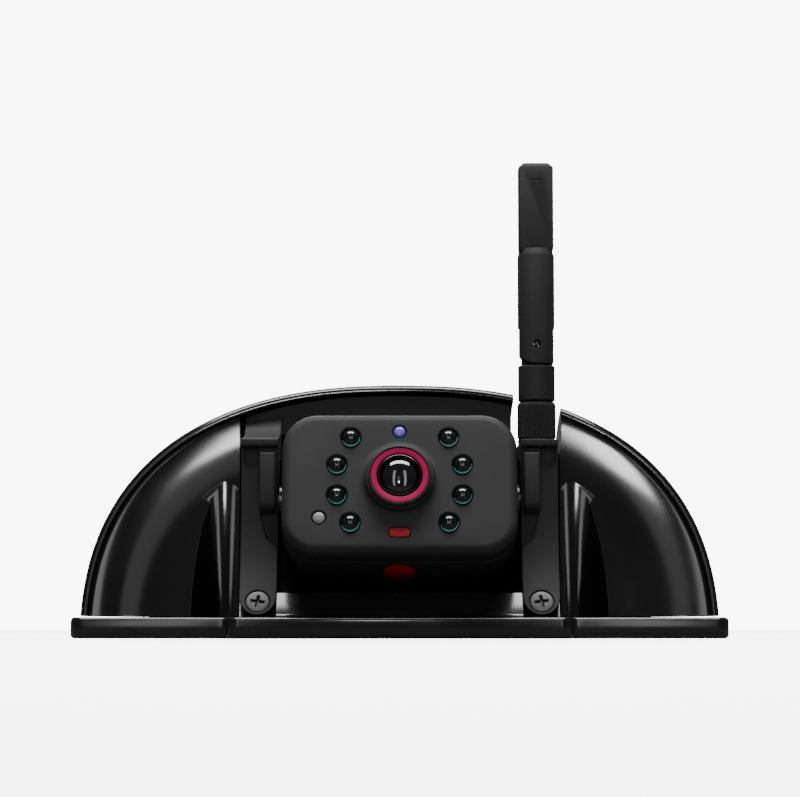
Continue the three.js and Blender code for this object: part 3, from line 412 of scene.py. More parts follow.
def fin(name, inset, columns, rows, detailed=False, behind=0.0):
    """The streamlined body, drawn in by an inset and set behind its front, on one flat bottom."""
    y0 = face_at_zero + inset + behind
    y1 = tail - FLANGE - inset
    rings = []
    if detailed:
        for inward, back in reversed(RIM):
            ring = station(0, inset + inward * MM, y0, y1, columns)
            rings.append([point + Vector((0, back * MM, 0)) for point in ring])
    first = 1.6 * MM / (y1 - y0) if detailed else 0.0
    for row in range(1 if detailed else 0, rows + 1):
        share = first + (0.985 - first) * math.sin(math.pi / 2 * row / rows)
        rings.append(station(share, inset, y0, y1, columns))
    count = columns + 1
    last = (len(rings) - 1) * count
    faces = [tuple(reversed(range(count))), tuple(range(last, last + count))]
    for row in range(len(rings) - 1):
        for a in range(row * count, row * count + columns):
            faces.append((a, a + 1, a + 1 + count, a + count))
    rights = [row * count for row in range(len(rings))]
    faces.append(tuple(rights + [right + columns for right in reversed(rights)]))
    return made(name, [point for ring in rings for point in ring], faces)


def recess_prism(grow, front, back):
    """The recess's tapered width, carried from front to back."""
    low = RECESS_HALF + grow
    high = low + RECESS_DRAFT
    top = shell_top + 10 * MM
    outline = [(-low, -MM), (low, -MM), (high, top), (-high, top)]
    return prism("recess", outline, front, back, "Y")


def notch_prism(grow, front, back):
    """The antenna's notch with round corners at its floor."""
    radius = NOTCH_CORNER
    half = NOTCH_HALF + grow
    floor = SEAT - 2 * MM - grow
    outline = [(antenna_x - half, shell_top + 20 * MM)]
    for side, start in ((-1, math.pi), (1, 1.5 * math.pi)):
        for step in range(9):
            turn = start + math.pi / 2 * step / 8
            outline.append((
                antenna_x + side * (half - radius) + radius * math.cos(turn),
                floor + radius + radius * math.sin(turn),
            ))
    outline.append((antenna_x + half, shell_top + 20 * MM))
    return prism("notch", outline, front, back, "Y")


def pocket_rod(side, grow):
    piece = rod("pocket", POCKET_RADIUS + grow, -5 * MM, shell_top, 96)
    return moved(piece, at(side * POCKET_X, pocket_y))


def pocket_space(side):
    """A pocket, cut off by the thin wall between it and the recess."""
    edges = sorted((side * (RECESS_HALF + POCKET_WALL), side * base_half))
    beside = block("beside", *edges, base_lo.y, tail, -10 * MM, shell_top + 10 * MM)
    return carve(pocket_rod(side, 0), [beside], "INTERSECT")


def make_shell():
    front = base_lo.y - 20 * MM
    roof = fin("roof_space", WALL, 120, 40)
    mouth = [(point.x, point.z) for point in station(0, WALL, 0, 0, 120)]
    carve(roof, [prism("mouth", mouth, front, face_at_zero + LEAN * shell_top + 4 * MM, "Y")], "UNION")
    recess = carve(recess_prism(0, front, RECESS_BACK), [roof], "INTERSECT")
    hollow = fin("hollow", WALL, 100, 30, behind=RIM[-1][1] * MM)
    hollow = carve(hollow, [
        recess_prism(WALL, front, RECESS_BACK + WALL),
        pocket_rod(-1, WALL),
        pocket_rod(1, WALL),
        notch_prism(WALL, front, tail),
    ])
    under = block("under", -base_half, base_half, base_lo.y, tail, -10 * MM, shell_lo.z)
    window = block(
        "window", -arm_middle - 2 * MM, arm_middle + 2 * MM,
        RECESS_BACK - MM, RECESS_BACK + WALL + MM, 0, LEAD_WINDOW_TOP,
    )
    shell = fin("shell_skin", 0, 200, 70, detailed=True)
    carve(shell, [
        hollow,
        recess,
        pocket_space(-1),
        pocket_space(1),
        notch_prism(0, front, tail + 10 * MM),
        under,
        window,
    ])
    return finished(shell, "housing", "gloss_shell", GLOSS, "outer_shell")


make_shell()


# ---- Base ----

def arc(x, y, radius, start, end, steps=8):
    """The points of an arc, from one angle to another in degrees."""
    turns = [math.radians(start + (end - start) * step / steps) for step in range(steps + 1)]
    return [(x + radius * math.cos(turn), y + radius * math.sin(turn)) for turn in turns]


def base_outline(inset=0.0, lip=False):
    """The base seen from above, drawn in by an inset, with or without its front lip."""
    half = base_half - inset
    front = wing_front + inset
    corner = max(CORNER - inset, 0.6 * MM)
    corner_y = front + WING_SWEEP + corner
    fillet = 1.6 * MM
    right = []
    start = 0.0
    if lip:
        right.append((0.0, base_lo.y))
        right += arc(LIP_HALF - CORNER, base_lo.y + CORNER, CORNER, -90, 0)
        start = LIP_HALF + fillet
        level = front + WING_SWEEP * (start / (half - corner)) ** 2
        right += arc(start, level - fillet, fillet, 180, 90)
    for step in range(25):
        x = start + (half - corner - start) * step / 24
        right.append((x, front + WING_SWEEP * (x / (half - corner)) ** 2))
    right += arc(half - corner, corner_y, corner, -90, 0)
    for step in range(1, 73):
        share = math.sin(math.pi / 2 * step / 72)
        x = half * max(0.0, 1 - share ** TAIL_POWER) ** (1 / TAIL_ROUND)
        right.append((x, corner_y + (tail - inset - corner_y) * share))
    points = []
    for point in right:
        if not points or math.dist(point, points[-1]) > 1e-6:
            points.append(point)
    return points + [(-x, y) for x, y in reversed(points) if x > 1e-6]


def node_middle(node):
    low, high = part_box(node)
    return (low + high) / 2


def apron(name, x0, x1, front, fillet):
    """A slope up to the foot's height, with a round foot where it meets the lip."""
    foot = BASE_TOP - 0.5 * MM
    slope = math.tan(FOOT_TILT)
    outline = [(front - fillet * 1.5, foot), (front - fillet * 1.5, BASE_TOP)]
    for step in range(1, 8):
        share = step / 8
        outline.append((
            front - fillet * 1.5 * (1 - share) ** 1.6 + 0.3 * MM * share,
            BASE_TOP + fillet * share ** 2.2,
        ))
    outline += [
        (front + slope * (APRON_TOP - foot) - 0.5 * MM, APRON_TOP - 0.8 * MM),
        (front + slope * (APRON_TOP - foot) + 0.3 * MM, APRON_TOP),
        (pivot.y - MM, APRON_TOP),
        (pivot.y - MM, foot),
    ]
    return prism(name, outline, x0, x1, "X")


def foot_matrix(side):
    """The place of a foot screw: its head's middle, with +Z out of the foot."""
    lean = Matrix.Rotation(math.pi / 2 - FOOT_TILT, 4, "X")
    return at(side * arm_middle, base_lo.y + 5.2 * MM, 10.4 * MM) @ lean


def make_base():
    base = softened(prism("base_plate", base_outline(lip=True), 0, BASE_TOP), 1.1 * MM, 4, 60)
    pad_front = base_lo.y + PAD_DEPTH
    parts = [apron("apron", -arm_inner, arm_inner, pad_front - 2.6 * MM, 1.2 * MM)]
    for side in (-1, 1):
        edges = sorted((side * arm_inner, side * bracket_half))
        parts.append(apron("pad", *edges, pad_front, 0.4 * MM))
    carve(base, parts, "UNION")
    gasket_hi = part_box("base_gasket")[1]
    outer = base_half - gasket_hi.x
    groove = carve(
        prism("groove", base_outline(outer - SLIP_FIT), -MM, gasket_hi.z + SLIP_FIT),
        [prism("island", base_outline(outer + GASKET_WIDTH + SLIP_FIT), -2 * MM, gasket_hi.z + MM)],
    )
    tools = [groove]
    for side in (-1, 1):
        hole = rod("mounting_hole", MOUNTING_HOLE, -MM, BASE_TOP + MM, 40)
        tools.append(moved(hole, at(side * mounting_x, pocket_y)))
        spot = rod("spot_face", SPOT_FACE, BASE_TOP - SPOT_FACE_DEPTH, BASE_TOP + MM, 48)
        tools.append(moved(spot, at(side * mounting_x, pocket_y)))
        shank = rod("foot_hole", 1.8 * MM, -8.5 * MM, 3 * MM, 24)
        tools.append(moved(shank, foot_matrix(side)))
    for number in range(1, 5):
        middle = node_middle(f"shell_screw_{number}")
        for radius, low, high in ((1.6, -1, 7), (3.1, -1, 2.2)):
            hole = rod("shell_screw_hole", radius * MM, low * MM, high * MM, 32)
            tools.append(moved(hole, at(middle.x, middle.y)))
    inlet = node_middle("base_cable_grommet")
    tools.append(moved(rod("inlet", INLET_RADIUS, -MM, BASE_TOP + MM, 48), at(inlet.x, inlet.y)))
    carve(base, tools)
    return finished(base, "housing", "gloss_base", GLOSS_BASE, "base_frame")


make_base()


# ---- Bracket ----

def curve(start, *controls, steps=12):
    """A Bezier curve through two or three controls, without its first point."""
    points = [Vector(start), *[Vector(control) for control in controls]]
    result = []
    for step in range(1, steps + 1):
        share = step / steps
        level = points
        while len(level) > 1:
            level = [a.lerp(b, share) for a, b in zip(level, level[1:])]
        result.append(tuple(level[0]))
    return result


def arm_outline():
    """The side view of an arm: foot, concave sweep, upright face, lip, cove and brow."""
    foot = bracket_lo.z
    slope = math.tan(FOOT_TILT)
    knee = foot + 7.4 * MM
    knee_y = bracket_lo.y + slope * (knee - foot)
    lip_y = ARM_FRONT - 1.8 * MM
    points = [(bracket_lo.y, foot), (knee_y - slope * MM, knee - MM)]
    points += curve(
        points[-1],
        (knee_y + 1.4 * MM, knee + 3.2 * MM),
        (ARM_FRONT + 0.1 * MM, knee + 9 * MM),
        (ARM_FRONT, LUG_TOP - 16.5 * MM),
    )
    points += [
        (ARM_FRONT, SEAT - 2.3 * MM),
        (ARM_FRONT - 0.3 * MM, SEAT - 2 * MM),
        (lip_y + 0.4 * MM, SEAT - 2 * MM),
        (lip_y, SEAT - 1.6 * MM),
        (lip_y, SEAT),
        (lip_y + 0.5 * MM, SEAT + 0.5 * MM),
    ]
    points += curve(
        points[-1],
        (BROW_Y - 8 * MM, SEAT + 1.2 * MM),
        (BROW_Y, SEAT + 4 * MM),
        (BROW_Y, SEAT + 10 * MM),
        steps=16,
    )
    back = bracket_hi.y
    pad = base_lo.y + 6.14 * MM
    points += [
        (BROW_Y, shell_top + 10 * MM),
        (BROW_Y + BRACKET_WALL, shell_top + 10 * MM),
        (BROW_Y + BRACKET_WALL, SEAT),
        (back, SEAT),
        (back, SEAT - 5 * MM),
        (pivot.y + 6 * MM, SEAT - 5 * MM),
        (pivot.y + 6 * MM, pivot.z - 8 * MM),
        (pad + slope * 8.5 * MM + 5 * MM, 19 * MM),
        (pad + slope * 7.9 * MM, 13.4 * MM),
        (pad + slope * 1.1 * MM, foot),
    ]
    return points


def make_arm(side):
    edges = sorted((side * arm_inner, side * bracket_half))
    arm = prism("arm", arm_outline(), *edges, "X")
    middle = side * arm_middle
    half = ARM_WIDTH / 2
    foot = [(middle + half, shell_top + 20 * MM), (middle - half, shell_top + 20 * MM)]
    foot += arc(middle, bracket_lo.z + half, half, 180, 360, 28)
    carve(arm, [prism("foot", foot, base_lo.y - 5 * MM, tail, "Y")], "INTERSECT")
    return softened(arm, 0.45 * MM, 3, 40)


def make_lug(side):
    """The raised bar on the arm's inner half, which overhangs a diagonal undercut."""
    inner, outer = sorted((side * (arm_inner + 0.7 * MM), side * (arm_inner + 5.1 * MM)))
    outline = [
        (ARM_FRONT + MM, LUG_TOP),
        (ARM_FRONT - 2.1 * MM, LUG_TOP),
        (ARM_FRONT - 2.9 * MM, LUG_TOP - 11 * MM),
        (ARM_FRONT - 2.9 * MM, LUG_TOP - 14.7 * MM),
        (ARM_FRONT - 2.2 * MM, LUG_TOP - 15.9 * MM),
        (ARM_FRONT + 0.2 * MM, LUG_TOP - 17.1 * MM),
        (ARM_FRONT + MM, LUG_TOP - 17.1 * MM),
    ]
    return softened(prism("lug", outline, inner, outer, "X"), 0.4 * MM, 3, 30)


def make_undercut(side):
    """A slanted groove below the lug that falls in towards the head."""
    front = ARM_FRONT - 3 * MM
    inner = side * (arm_inner - MM)
    outline = [
        (inner, LUG_TOP - 17.1 * MM),
        (side * (arm_inner + 5.1 * MM), LUG_TOP - 17.1 * MM),
        (side * (arm_inner + 3.2 * MM), LUG_TOP - 24.5 * MM),
        (inner, LUG_TOP - 28 * MM),
    ]
    return prism("undercut", outline, front, ARM_FRONT + 1.5 * MM, "Y")


def make_bracket():
    gap = INSERT_GAP
    brow_bottom = pivot.z + math.hypot(HEAD_FRONT, HEAD_HALF_HEIGHT) - 6 * MM
    back = bracket_hi.y
    plate = BRACKET_WALL
    wall = [
        (BROW_Y, shell_top + 10 * MM),
        (BROW_Y, brow_bottom),
        (back - plate, brow_bottom),
        (back - plate, bracket_lo.z),
        (back, bracket_lo.z),
        (back, brow_bottom + plate),
        (BROW_Y + plate, brow_bottom + plate),
        (BROW_Y + plate, shell_top + 10 * MM),
    ]
    bracket = prism("bracket", wall, -bracket_half, bracket_half, "X")
    parts = []
    for side in (-1, 1):
        outer = side * bracket_half
        edges = sorted((outer, outer - side * plate))
        parts.append(block(
            "cheek", *edges, pivot.y + 4 * MM, back, APRON_TOP + MM, SEAT - MM,
        ))
        parts.append(make_arm(side))
        parts.append(make_lug(side))
    carve(bracket, parts, "UNION")
    roof = fin("roof_trim", WALL + gap, 120, 40)
    mouth = [(point.x, point.z) for point in station(0, WALL + gap, 0, 0, 120)]
    reach = face_at_zero + LEAN * shell_top + 4 * MM
    carve(roof, [prism("mouth", mouth, base_lo.y - 20 * MM, reach, "Y")], "UNION")
    carve(bracket, [roof], "INTERSECT")
    tools = [block(
        "antenna_gap", antenna_x - NOTCH_HALF - gap, bracket_half + 5 * MM,
        base_lo.y, tail, SEAT, 100 * MM,
    )]
    for side in (-1, 1):
        relief = prism("relief", rounded(2.1 * MM, 4 * MM, 2 * MM, 8), -MM, 1.6 * MM)
        place = at(side * (arm_inner + 7.6 * MM), ARM_FRONT, SEAT - 4 * MM)
        tools.append(moved(relief, place @ turned_x(90) @ at(0, 0, -0.6 * MM)))
        tools.append(make_undercut(side))
        across = at(0, pivot.y, pivot.z) @ turned_y(90 * side)
        for radius, low in ((2.3 * MM, arm_inner - MM), (3.5 * MM, bracket_half - 2.6 * MM)):
            hole = rod("pivot_hole", radius, low, bracket_half + MM, 40)
            tools.append(moved(hole, across))
        seat = lathe("screw_seat", [(0, -8.5), (1.8, -8.5), (1.8, -1.8), (3.6, -0.4), (3.6, 3), (0, 3)])
        tools.append(moved(seat, foot_matrix(side)))
    for x, radius in ((0.0, 4 * MM), (arm_middle - 1.6 * MM, 3 * MM)):
        hole = rod("lead_hole", radius, back - 6 * MM, back + MM, 32)
        tools.append(moved(hole, at(x, 0, LEAD_HOLE_HEIGHT) @ turned_x(-90)))
    for radius, low, high in (
        (3.4, SEAT - 6 * MM, SEAT + MM),
        (4.4, SEAT - 19 * MM, SEAT - 5 * MM),
        (5.5, SEAT - 2.4 * MM, SEAT + MM),
    ):
        hole = rod("jack_hole", radius * MM, low, high, 40)
        tools.append(moved(hole, at(antenna_x, antenna_y)))
    carve(bracket, tools)
    return finished(bracket, "housing", "matte_plastic", MATTE, "head_bracket")


make_bracket()


# ---- Camera head, about its pivot with the face towards -Y ----

HEAD_WALL = 2.2 * MM
LENS_RADIUS = 5.4
BARREL_RADIUS = 6.1
BEZEL_RADIUS = 8.9
ACCENT_RADIUS = 8.05
BOSS = 2.6
LED_RADIUS = 2.5


def head_skin(name, levels):
    """A skin through rounded rectangles, each drawn in by an inset at its own depth."""
    rings = []
    for y, inset in levels:
        radius = HEAD_CORNER - min(inset, HEAD_CORNER - 2 * MM)
        ring = rounded(head_half - inset, HEAD_HALF_HEIGHT - inset, radius, 16)
        rings.append([Vector((x, y, z)) for x, z in ring])
    return loft(name, rings)


def on_face(x=0.0, z=0.0):
    """The place of something made about +Z with its height counted from the face, in metres."""
    return at(x, HEAD_FRONT, OPTICS_LIFT + z) @ turned_x(90)


def face_place(node):
    """Where a node of the head stands on the face, across and up from the lens."""
    back = on_head.inverted()
    points = [back @ vertex.co for vertex in frame["nodes"][node].data.vertices]
    xs = [point.x for point in points]
    zs = [point.z for point in points]
    return (min(xs) + max(xs)) / 2, (min(zs) + max(zs)) / 2 - OPTICS_LIFT


leds = [f"infrared_led_{number}" for number in range(1, 9)]
led_places = {node: face_place(node) for node in leds}
sensor_place = face_place("light_sensor")
microphone_place = face_place("microphone_dome")
badge_place = face_place("face_badge")
head_screws = [face_place(f"head_screw_{number}") for number in range(1, 5)]


def make_bezel():
    levels = []
    for step in range(9):
        turn = math.pi / 2 * step / 8
        levels.append((HEAD_FRONT + 3 * MM * (1 - math.cos(turn)), 2.6 * MM * (1 - math.sin(turn))))
    levels += [
        (BEZEL_BACK - 0.5 * MM, 0.0), (BEZEL_BACK - 0.15 * MM, 0.12 * MM), (BEZEL_BACK, 0.4 * MM),
    ]
    bezel = head_skin("bezel", levels)
    cavity = head_skin("cavity", [(HEAD_FRONT + HEAD_WALL, HEAD_WALL), (BEZEL_BACK + MM, HEAD_WALL)])
    carve(bezel, [cavity])
    profile = [(0, -1), (11.8, -1), (11.8, 0.0)]
    for step in range(1, 13):
        turn = math.pi / 2 * step / 12
        profile.append((11.8 - 2.3 * math.sin(turn), 1.5 * (1 - math.cos(turn))))
    profile += [(9.4, BOSS - 0.2), (9.25, BOSS), (0, BOSS)]
    parts = [moved(lathe("boss", profile, 96), on_face())]
    for x, z in head_screws:
        post = rod("post", 3 * MM, HEAD_FRONT + MM, BEZEL_BACK - 0.6 * MM, 24)
        parts.append(moved(post, at(x, 0, z + OPTICS_LIFT) @ turned_x(-90)))
    carve(bezel, parts, "UNION")
    bore = BARREL_RADIUS + 0.3
    tools = [moved(lathe("bore", [(0, -4), (bore, -4), (bore, 4), (0, 4)], 64), on_face())]
    for place, radius, flare in (
        *[(place, LED_RADIUS + 0.3, 0.45) for place in led_places.values()],
        (sensor_place, 1.9, 0.25),
        (microphone_place, 2.0, 0.3),
    ):
        hole = [
            (0, -4), (radius, -4), (radius, -flare), (radius + flare, 0.02), (radius + flare, 1), (0, 1),
        ]
        tools.append(moved(lathe("face_hole", hole, 48), on_face(*place)))
    for x, z in head_screws:
        pilot = rod("pilot", 1.3 * MM, HEAD_FRONT + HEAD_WALL, 0, 24)
        tools.append(moved(pilot, at(x, 0, z + OPTICS_LIFT) @ turned_x(-90)))
    badge = prism("badge_seat", rounded(3.2 * MM, 1.6 * MM, 1.59 * MM, 12), -0.6 * MM, MM)
    tools.append(moved(badge, on_face(*badge_place)))
    carve(bezel, tools)
    finished(moved(bezel, on_head), "head", "matte_plastic", MATTE, "head_front_bezel")


def make_rear_housing():
    levels = [
        (HOUSING_FRONT, 0.4 * MM), (HOUSING_FRONT + 0.15 * MM, 0.12 * MM), (HOUSING_FRONT + 0.5 * MM, 0.0),
        (HEAD_BACK - 9 * MM, 0.2 * MM), (HEAD_BACK - 5 * MM, 0.5 * MM),
    ]
    for step in range(1, 11):
        turn = math.pi / 2 * step / 10
        levels.append((
            HEAD_BACK - 5 * MM + 5 * MM * math.sin(turn),
            0.5 * MM + 3.7 * MM * (1 - math.cos(turn)),
        ))
    housing = head_skin("rear_housing", levels)
    cavity = head_skin("cavity", [
        (HOUSING_FRONT - MM, HEAD_WALL), (HEAD_BACK - HEAD_WALL, HEAD_WALL + 2.2 * MM),
    ])
    carve(housing, [cavity])
    parts = []
    for x, z in head_screws:
        post = rod("post", 3.4 * MM, HOUSING_FRONT + 0.2 * MM, HEAD_BACK - MM, 24)
        parts.append(moved(post, at(x, 0, z + OPTICS_LIFT) @ turned_x(-90)))
    for side in (-1, 1):
        boss = rod("side_boss", 5.2 * MM, head_half - 9 * MM, head_half - 0.6 * MM, 32)
        parts.append(moved(boss, turned_y(90 * side)))
    carve(housing, parts, "UNION")
    tools = []
    for side in (-1, 1):
        hole = rod("pivot_hole", 2.3 * MM, head_half - 8 * MM, head_half + 2 * MM, 32)
        tools.append(moved(hole, turned_y(90 * side)))
    for x, z in head_screws:
        for radius, low in ((1.3, -12), (2.5, 1.9)):
            hole = rod("screw_hole", radius * MM, low * MM, HEAD_BACK + MM, 32)
            tools.append(moved(hole, at(x, 0, z + OPTICS_LIFT) @ turned_x(-90)))
    lead = face_place("head_cable_grommet")[1] + OPTICS_LIFT
    hole = rod("lead_hole", 4.5 * MM, HEAD_BACK - 4 * MM, HEAD_BACK + MM, 40)
    tools.append(moved(hole, at(0, 0, lead) @ turned_x(-90)))
    low = -HEAD_HALF_HEIGHT
    tools.append(prism("badge_seat", oval(SLIP_FIT), low - MM, low + 0.8 * MM))
    carve(housing, tools)
    finished(moved(housing, on_head), "head", "matte_plastic", MATTE, "head_rear_housing")


def oval(grow):
    """The plain oval under the head."""
    turns = [2 * math.pi * step / 64 for step in range(64)]
    wide = 4.65 * MM + grow
    deep = 7 * MM + grow
    return [(wide * math.cos(turn), 2.2 * MM + deep * math.sin(turn)) for turn in turns]


def make_badges():
    face = prism("face_badge", rounded(2.9 * MM, 1.3 * MM, 1.29 * MM, 12), -0.3 * MM, 0.2 * MM)
    face = softened(face, 0.12 * MM, 2, 50)
    finished(moved(face, on_head @ on_face(*badge_place)), "head", "badge_red", RED, "face_badge")
    under = softened(
        prism("underside_badge", oval(0), -HEAD_HALF_HEIGHT + 0.1 * MM, -HEAD_HALF_HEIGHT + 0.5 * MM),
        0.15 * MM, 2, 50,
    )
    finished(moved(under, on_head), "head", "badge_red", RED_DARK, "underside_badge")


def turned_on_face(name, profile, slot, material, *nodes, place=(0, 0), sides=96):
    """A turned piece on the face, its heights counted from the face in millimetres."""
    piece = moved(lathe(name, profile, sides), on_head @ on_face(*place))
    return finished(piece, "head", slot, material, *nodes)


def make_optics():
    bore = BARREL_RADIUS + 0.3
    low = BOSS + 0.3
    turned_on_face("lens_rim", [
        (bore, low), (BEZEL_RADIUS - 0.1, low), (BEZEL_RADIUS, low + 0.1), (BEZEL_RADIUS, BOSS + 1.2),
        (BEZEL_RADIUS - 0.12, BOSS + 1.55), (BEZEL_RADIUS - 0.4, BOSS + 1.8),
        (BEZEL_RADIUS - 0.6, BOSS + 1.85), (ACCENT_RADIUS + 0.15, BOSS + 1.75),
        (ACCENT_RADIUS + 0.1, BOSS + 0.9), (bore, BOSS + 0.9), (bore, low),
    ], "black_trim", MATTE, "lens_bezel")
    turned_on_face("accent_ring", [
        (bore, BOSS + 1.1), (ACCENT_RADIUS, BOSS + 1.1), (ACCENT_RADIUS, BOSS + 1.5),
        (ACCENT_RADIUS - 0.1, BOSS + 1.62), (bore + 0.3, BOSS + 1.62), (bore, BOSS + 1.5),
        (bore, BOSS + 1.1),
    ], "accent", ACCENT, "lens_accent_ring")
    inner = LENS_RADIUS + 0.15
    turned_on_face("lens_cell", [
        (inner, -10), (BARREL_RADIUS, -10), (BARREL_RADIUS, BOSS + 1.4), (BARREL_RADIUS - 0.1, BOSS + 1.6),
        (inner + 0.2, BOSS + 1.75), (inner, BOSS + 1.3), (inner, -10),
    ], "black_trim", SATIN, "lens_barrel")
    dome = [(0, BOSS - 1.4), (LENS_RADIUS, BOSS - 1.4), (LENS_RADIUS, BOSS + 0.1)]
    for step in range(1, 25):
        turn = math.pi / 2 * step / 24
        dome.append((LENS_RADIUS * math.cos(turn), BOSS + 0.1 + 2.2 * math.sin(turn)))
    turned_on_face("lens_dome", dome, "lens_glass", GLASS, "front_lens_element")


def make_led(node):
    radius = LED_RADIUS
    dome = [(0, -4.9), (radius + 0.4, -4.9), (radius + 0.4, -3.9), (radius, -3.9), (radius, -0.5)]
    for step in range(1, 17):
        turn = math.pi / 2 * step / 16
        dome.append((radius * math.cos(turn), -0.5 + 2.1 * math.sin(turn)))
    turned_on_face(node.replace("infrared_led", "led_dome"), dome, "led_glass", LED_RESIN, node,
                   place=led_places[node], sides=48)
    # A thin teal crescent on the dome's lower edge: a painted glint of light caught in the dome.
    crescent = loft(node.replace("infrared_led", "led_rim"), painted_glint_rings(radius))
    finished(moved(crescent, on_head @ on_face(*led_places[node])), "head", "led_glass", LED_PAINTED_GLINT)


def painted_glint_rings(radius):
    """A thin crescent on the lower part of a dome's edge, a painted glint that stands for light caught in
    the dome.
    """
    rings = []
    for step in range(33):
        share = step / 32
        turn = math.radians(-165 + 170 * share)
        swell = math.sin(math.pi * share) ** 0.7
        out = radius * 0.985 + 0.02
        thick = 0.02 + 0.2 * swell
        direction = Vector((math.cos(turn), math.sin(turn), 0))
        low = -0.42
        rings.append([
            (direction * (out + 0.06) + Vector((0, 0, low))) * MM,
            (direction * (out + 0.08) + Vector((0, 0, low + 0.3 + thick))) * MM,
            (direction * (out - thick) + Vector((0, 0, low + 0.62 + thick))) * MM,
            (direction * (out - thick - 0.12) + Vector((0, 0, low + 0.1))) * MM,
        ])
    return rings


def make_small_domes():
    for node, place, radius, slot, material in (
        ("light_sensor", sensor_place, 1.6, "sensor_blue", BLUE),
        ("microphone_dome", microphone_place, 1.7, "grey_plastic", GREY),
    ):
        profile = [(0, -3), (radius, -3), (radius, -0.25)]
        for step in range(1, 13):
            turn = math.pi / 2 * step / 12
            profile.append((radius * math.cos(turn), -0.25 + 0.7 * math.sin(turn)))
        turned_on_face(node + "_cap", profile, slot, material, node, place=place, sides=40)


make_bezel()
make_rear_housing()
make_badges()
make_optics()
for led in leds:
    make_led(led)
make_small_domes()


# ---- Antenna, about the jack's axis with its height counted from the seat, in millimetres ----

NUT_RADIUS = 5.6
NUT_TOP = 12.6
NUT_TEETH = 38
STEM_RADIUS = 5.35
HINGE = (hinge.z - SEAT) / MM
SHOULDER = HINGE - 6.2
BLADE_START = 57.7
BLADE_TOP = 83.2
TONGUE_HALF = 1.8
TONGUE_RADIUS = STEM_RADIUS - 1.05
PIN_RADIUS = 0.75

on_seat = at(antenna_x, antenna_y, SEAT)


def about_pin(name, radius, reach, sides=48):
    """A cylinder along the hinge's axis, in millimetres."""
    piece = lathe(name, [(0, -reach), (radius, -reach), (radius, reach), (0, reach)], sides)
    return moved(piece, at(0, 0, HINGE * MM) @ turned_x(90))


def make_coupling_nut():
    """Fine teeth around the nut, chamfered at both ends, above a plain collar."""
    levels = [
        (0.4, 0.5, 0.0), (0.7, 0.12, 0.0), (1.5, 0.1, 0.0), (1.6, 0.3, 0.0), (2.0, 0.3, 0.0),
        (2.2, 0.0, 1.0), (2.3, 0.0, 1.0), (11.4, 0.0, 1.0), (11.5, 0.0, 1.0), (12.2, 0.25, 0.7),
        (12.6, 0.6, 0.0),
    ]
    rings = []
    for height, inset, depth in levels:
        ring = []
        for step in range(NUT_TEETH * 6):
            phase = step % 6
            groove = (0.0, 0.0, 0.12, 0.38, 0.38, 0.12)[phase] * depth
            radius = (NUT_RADIUS - inset - groove) * MM
            turn = 2 * math.pi * step / (NUT_TEETH * 6)
            ring.append(Vector((radius * math.cos(turn), radius * math.sin(turn), height * MM)))
        rings.append(ring)
    nut = tidied(loft("coupling_nut", rings), 28)
    carve(nut, [rod("bore", 3.4 * MM, 0, 13 * MM, 48)])
    finished(moved(nut, on_seat), "coupling_nut", "matte_plastic", MATTE, "antenna_coupling_nut")


def make_elbow():
    top = NUT_TOP + 0.3
    stem = lathe("elbow", [
        (0, NUT_TOP - 2.2), (3.1, NUT_TOP - 2.2), (3.1, top), (STEM_RADIUS - 0.3, top),
        (STEM_RADIUS, top + 0.3), (STEM_RADIUS, SHOULDER - 0.35), (STEM_RADIUS - 0.35, SHOULDER),
        (0, SHOULDER),
    ], 72)
    tongue = block(
        "tongue", -TONGUE_RADIUS * MM, TONGUE_RADIUS * MM, -TONGUE_HALF * MM, TONGUE_HALF * MM,
        (SHOULDER - 1) * MM, HINGE * MM,
    )
    carve(stem, [tongue, about_pin("knuckle", TONGUE_RADIUS, TONGUE_HALF, 64)], "UNION")
    carve(stem, [about_pin("pin_hole", PIN_RADIUS + 0.3, STEM_RADIUS, 32)])
    finished(moved(stem, on_seat), "antenna_base", "matte_plastic", MATTE, "antenna_elbow")


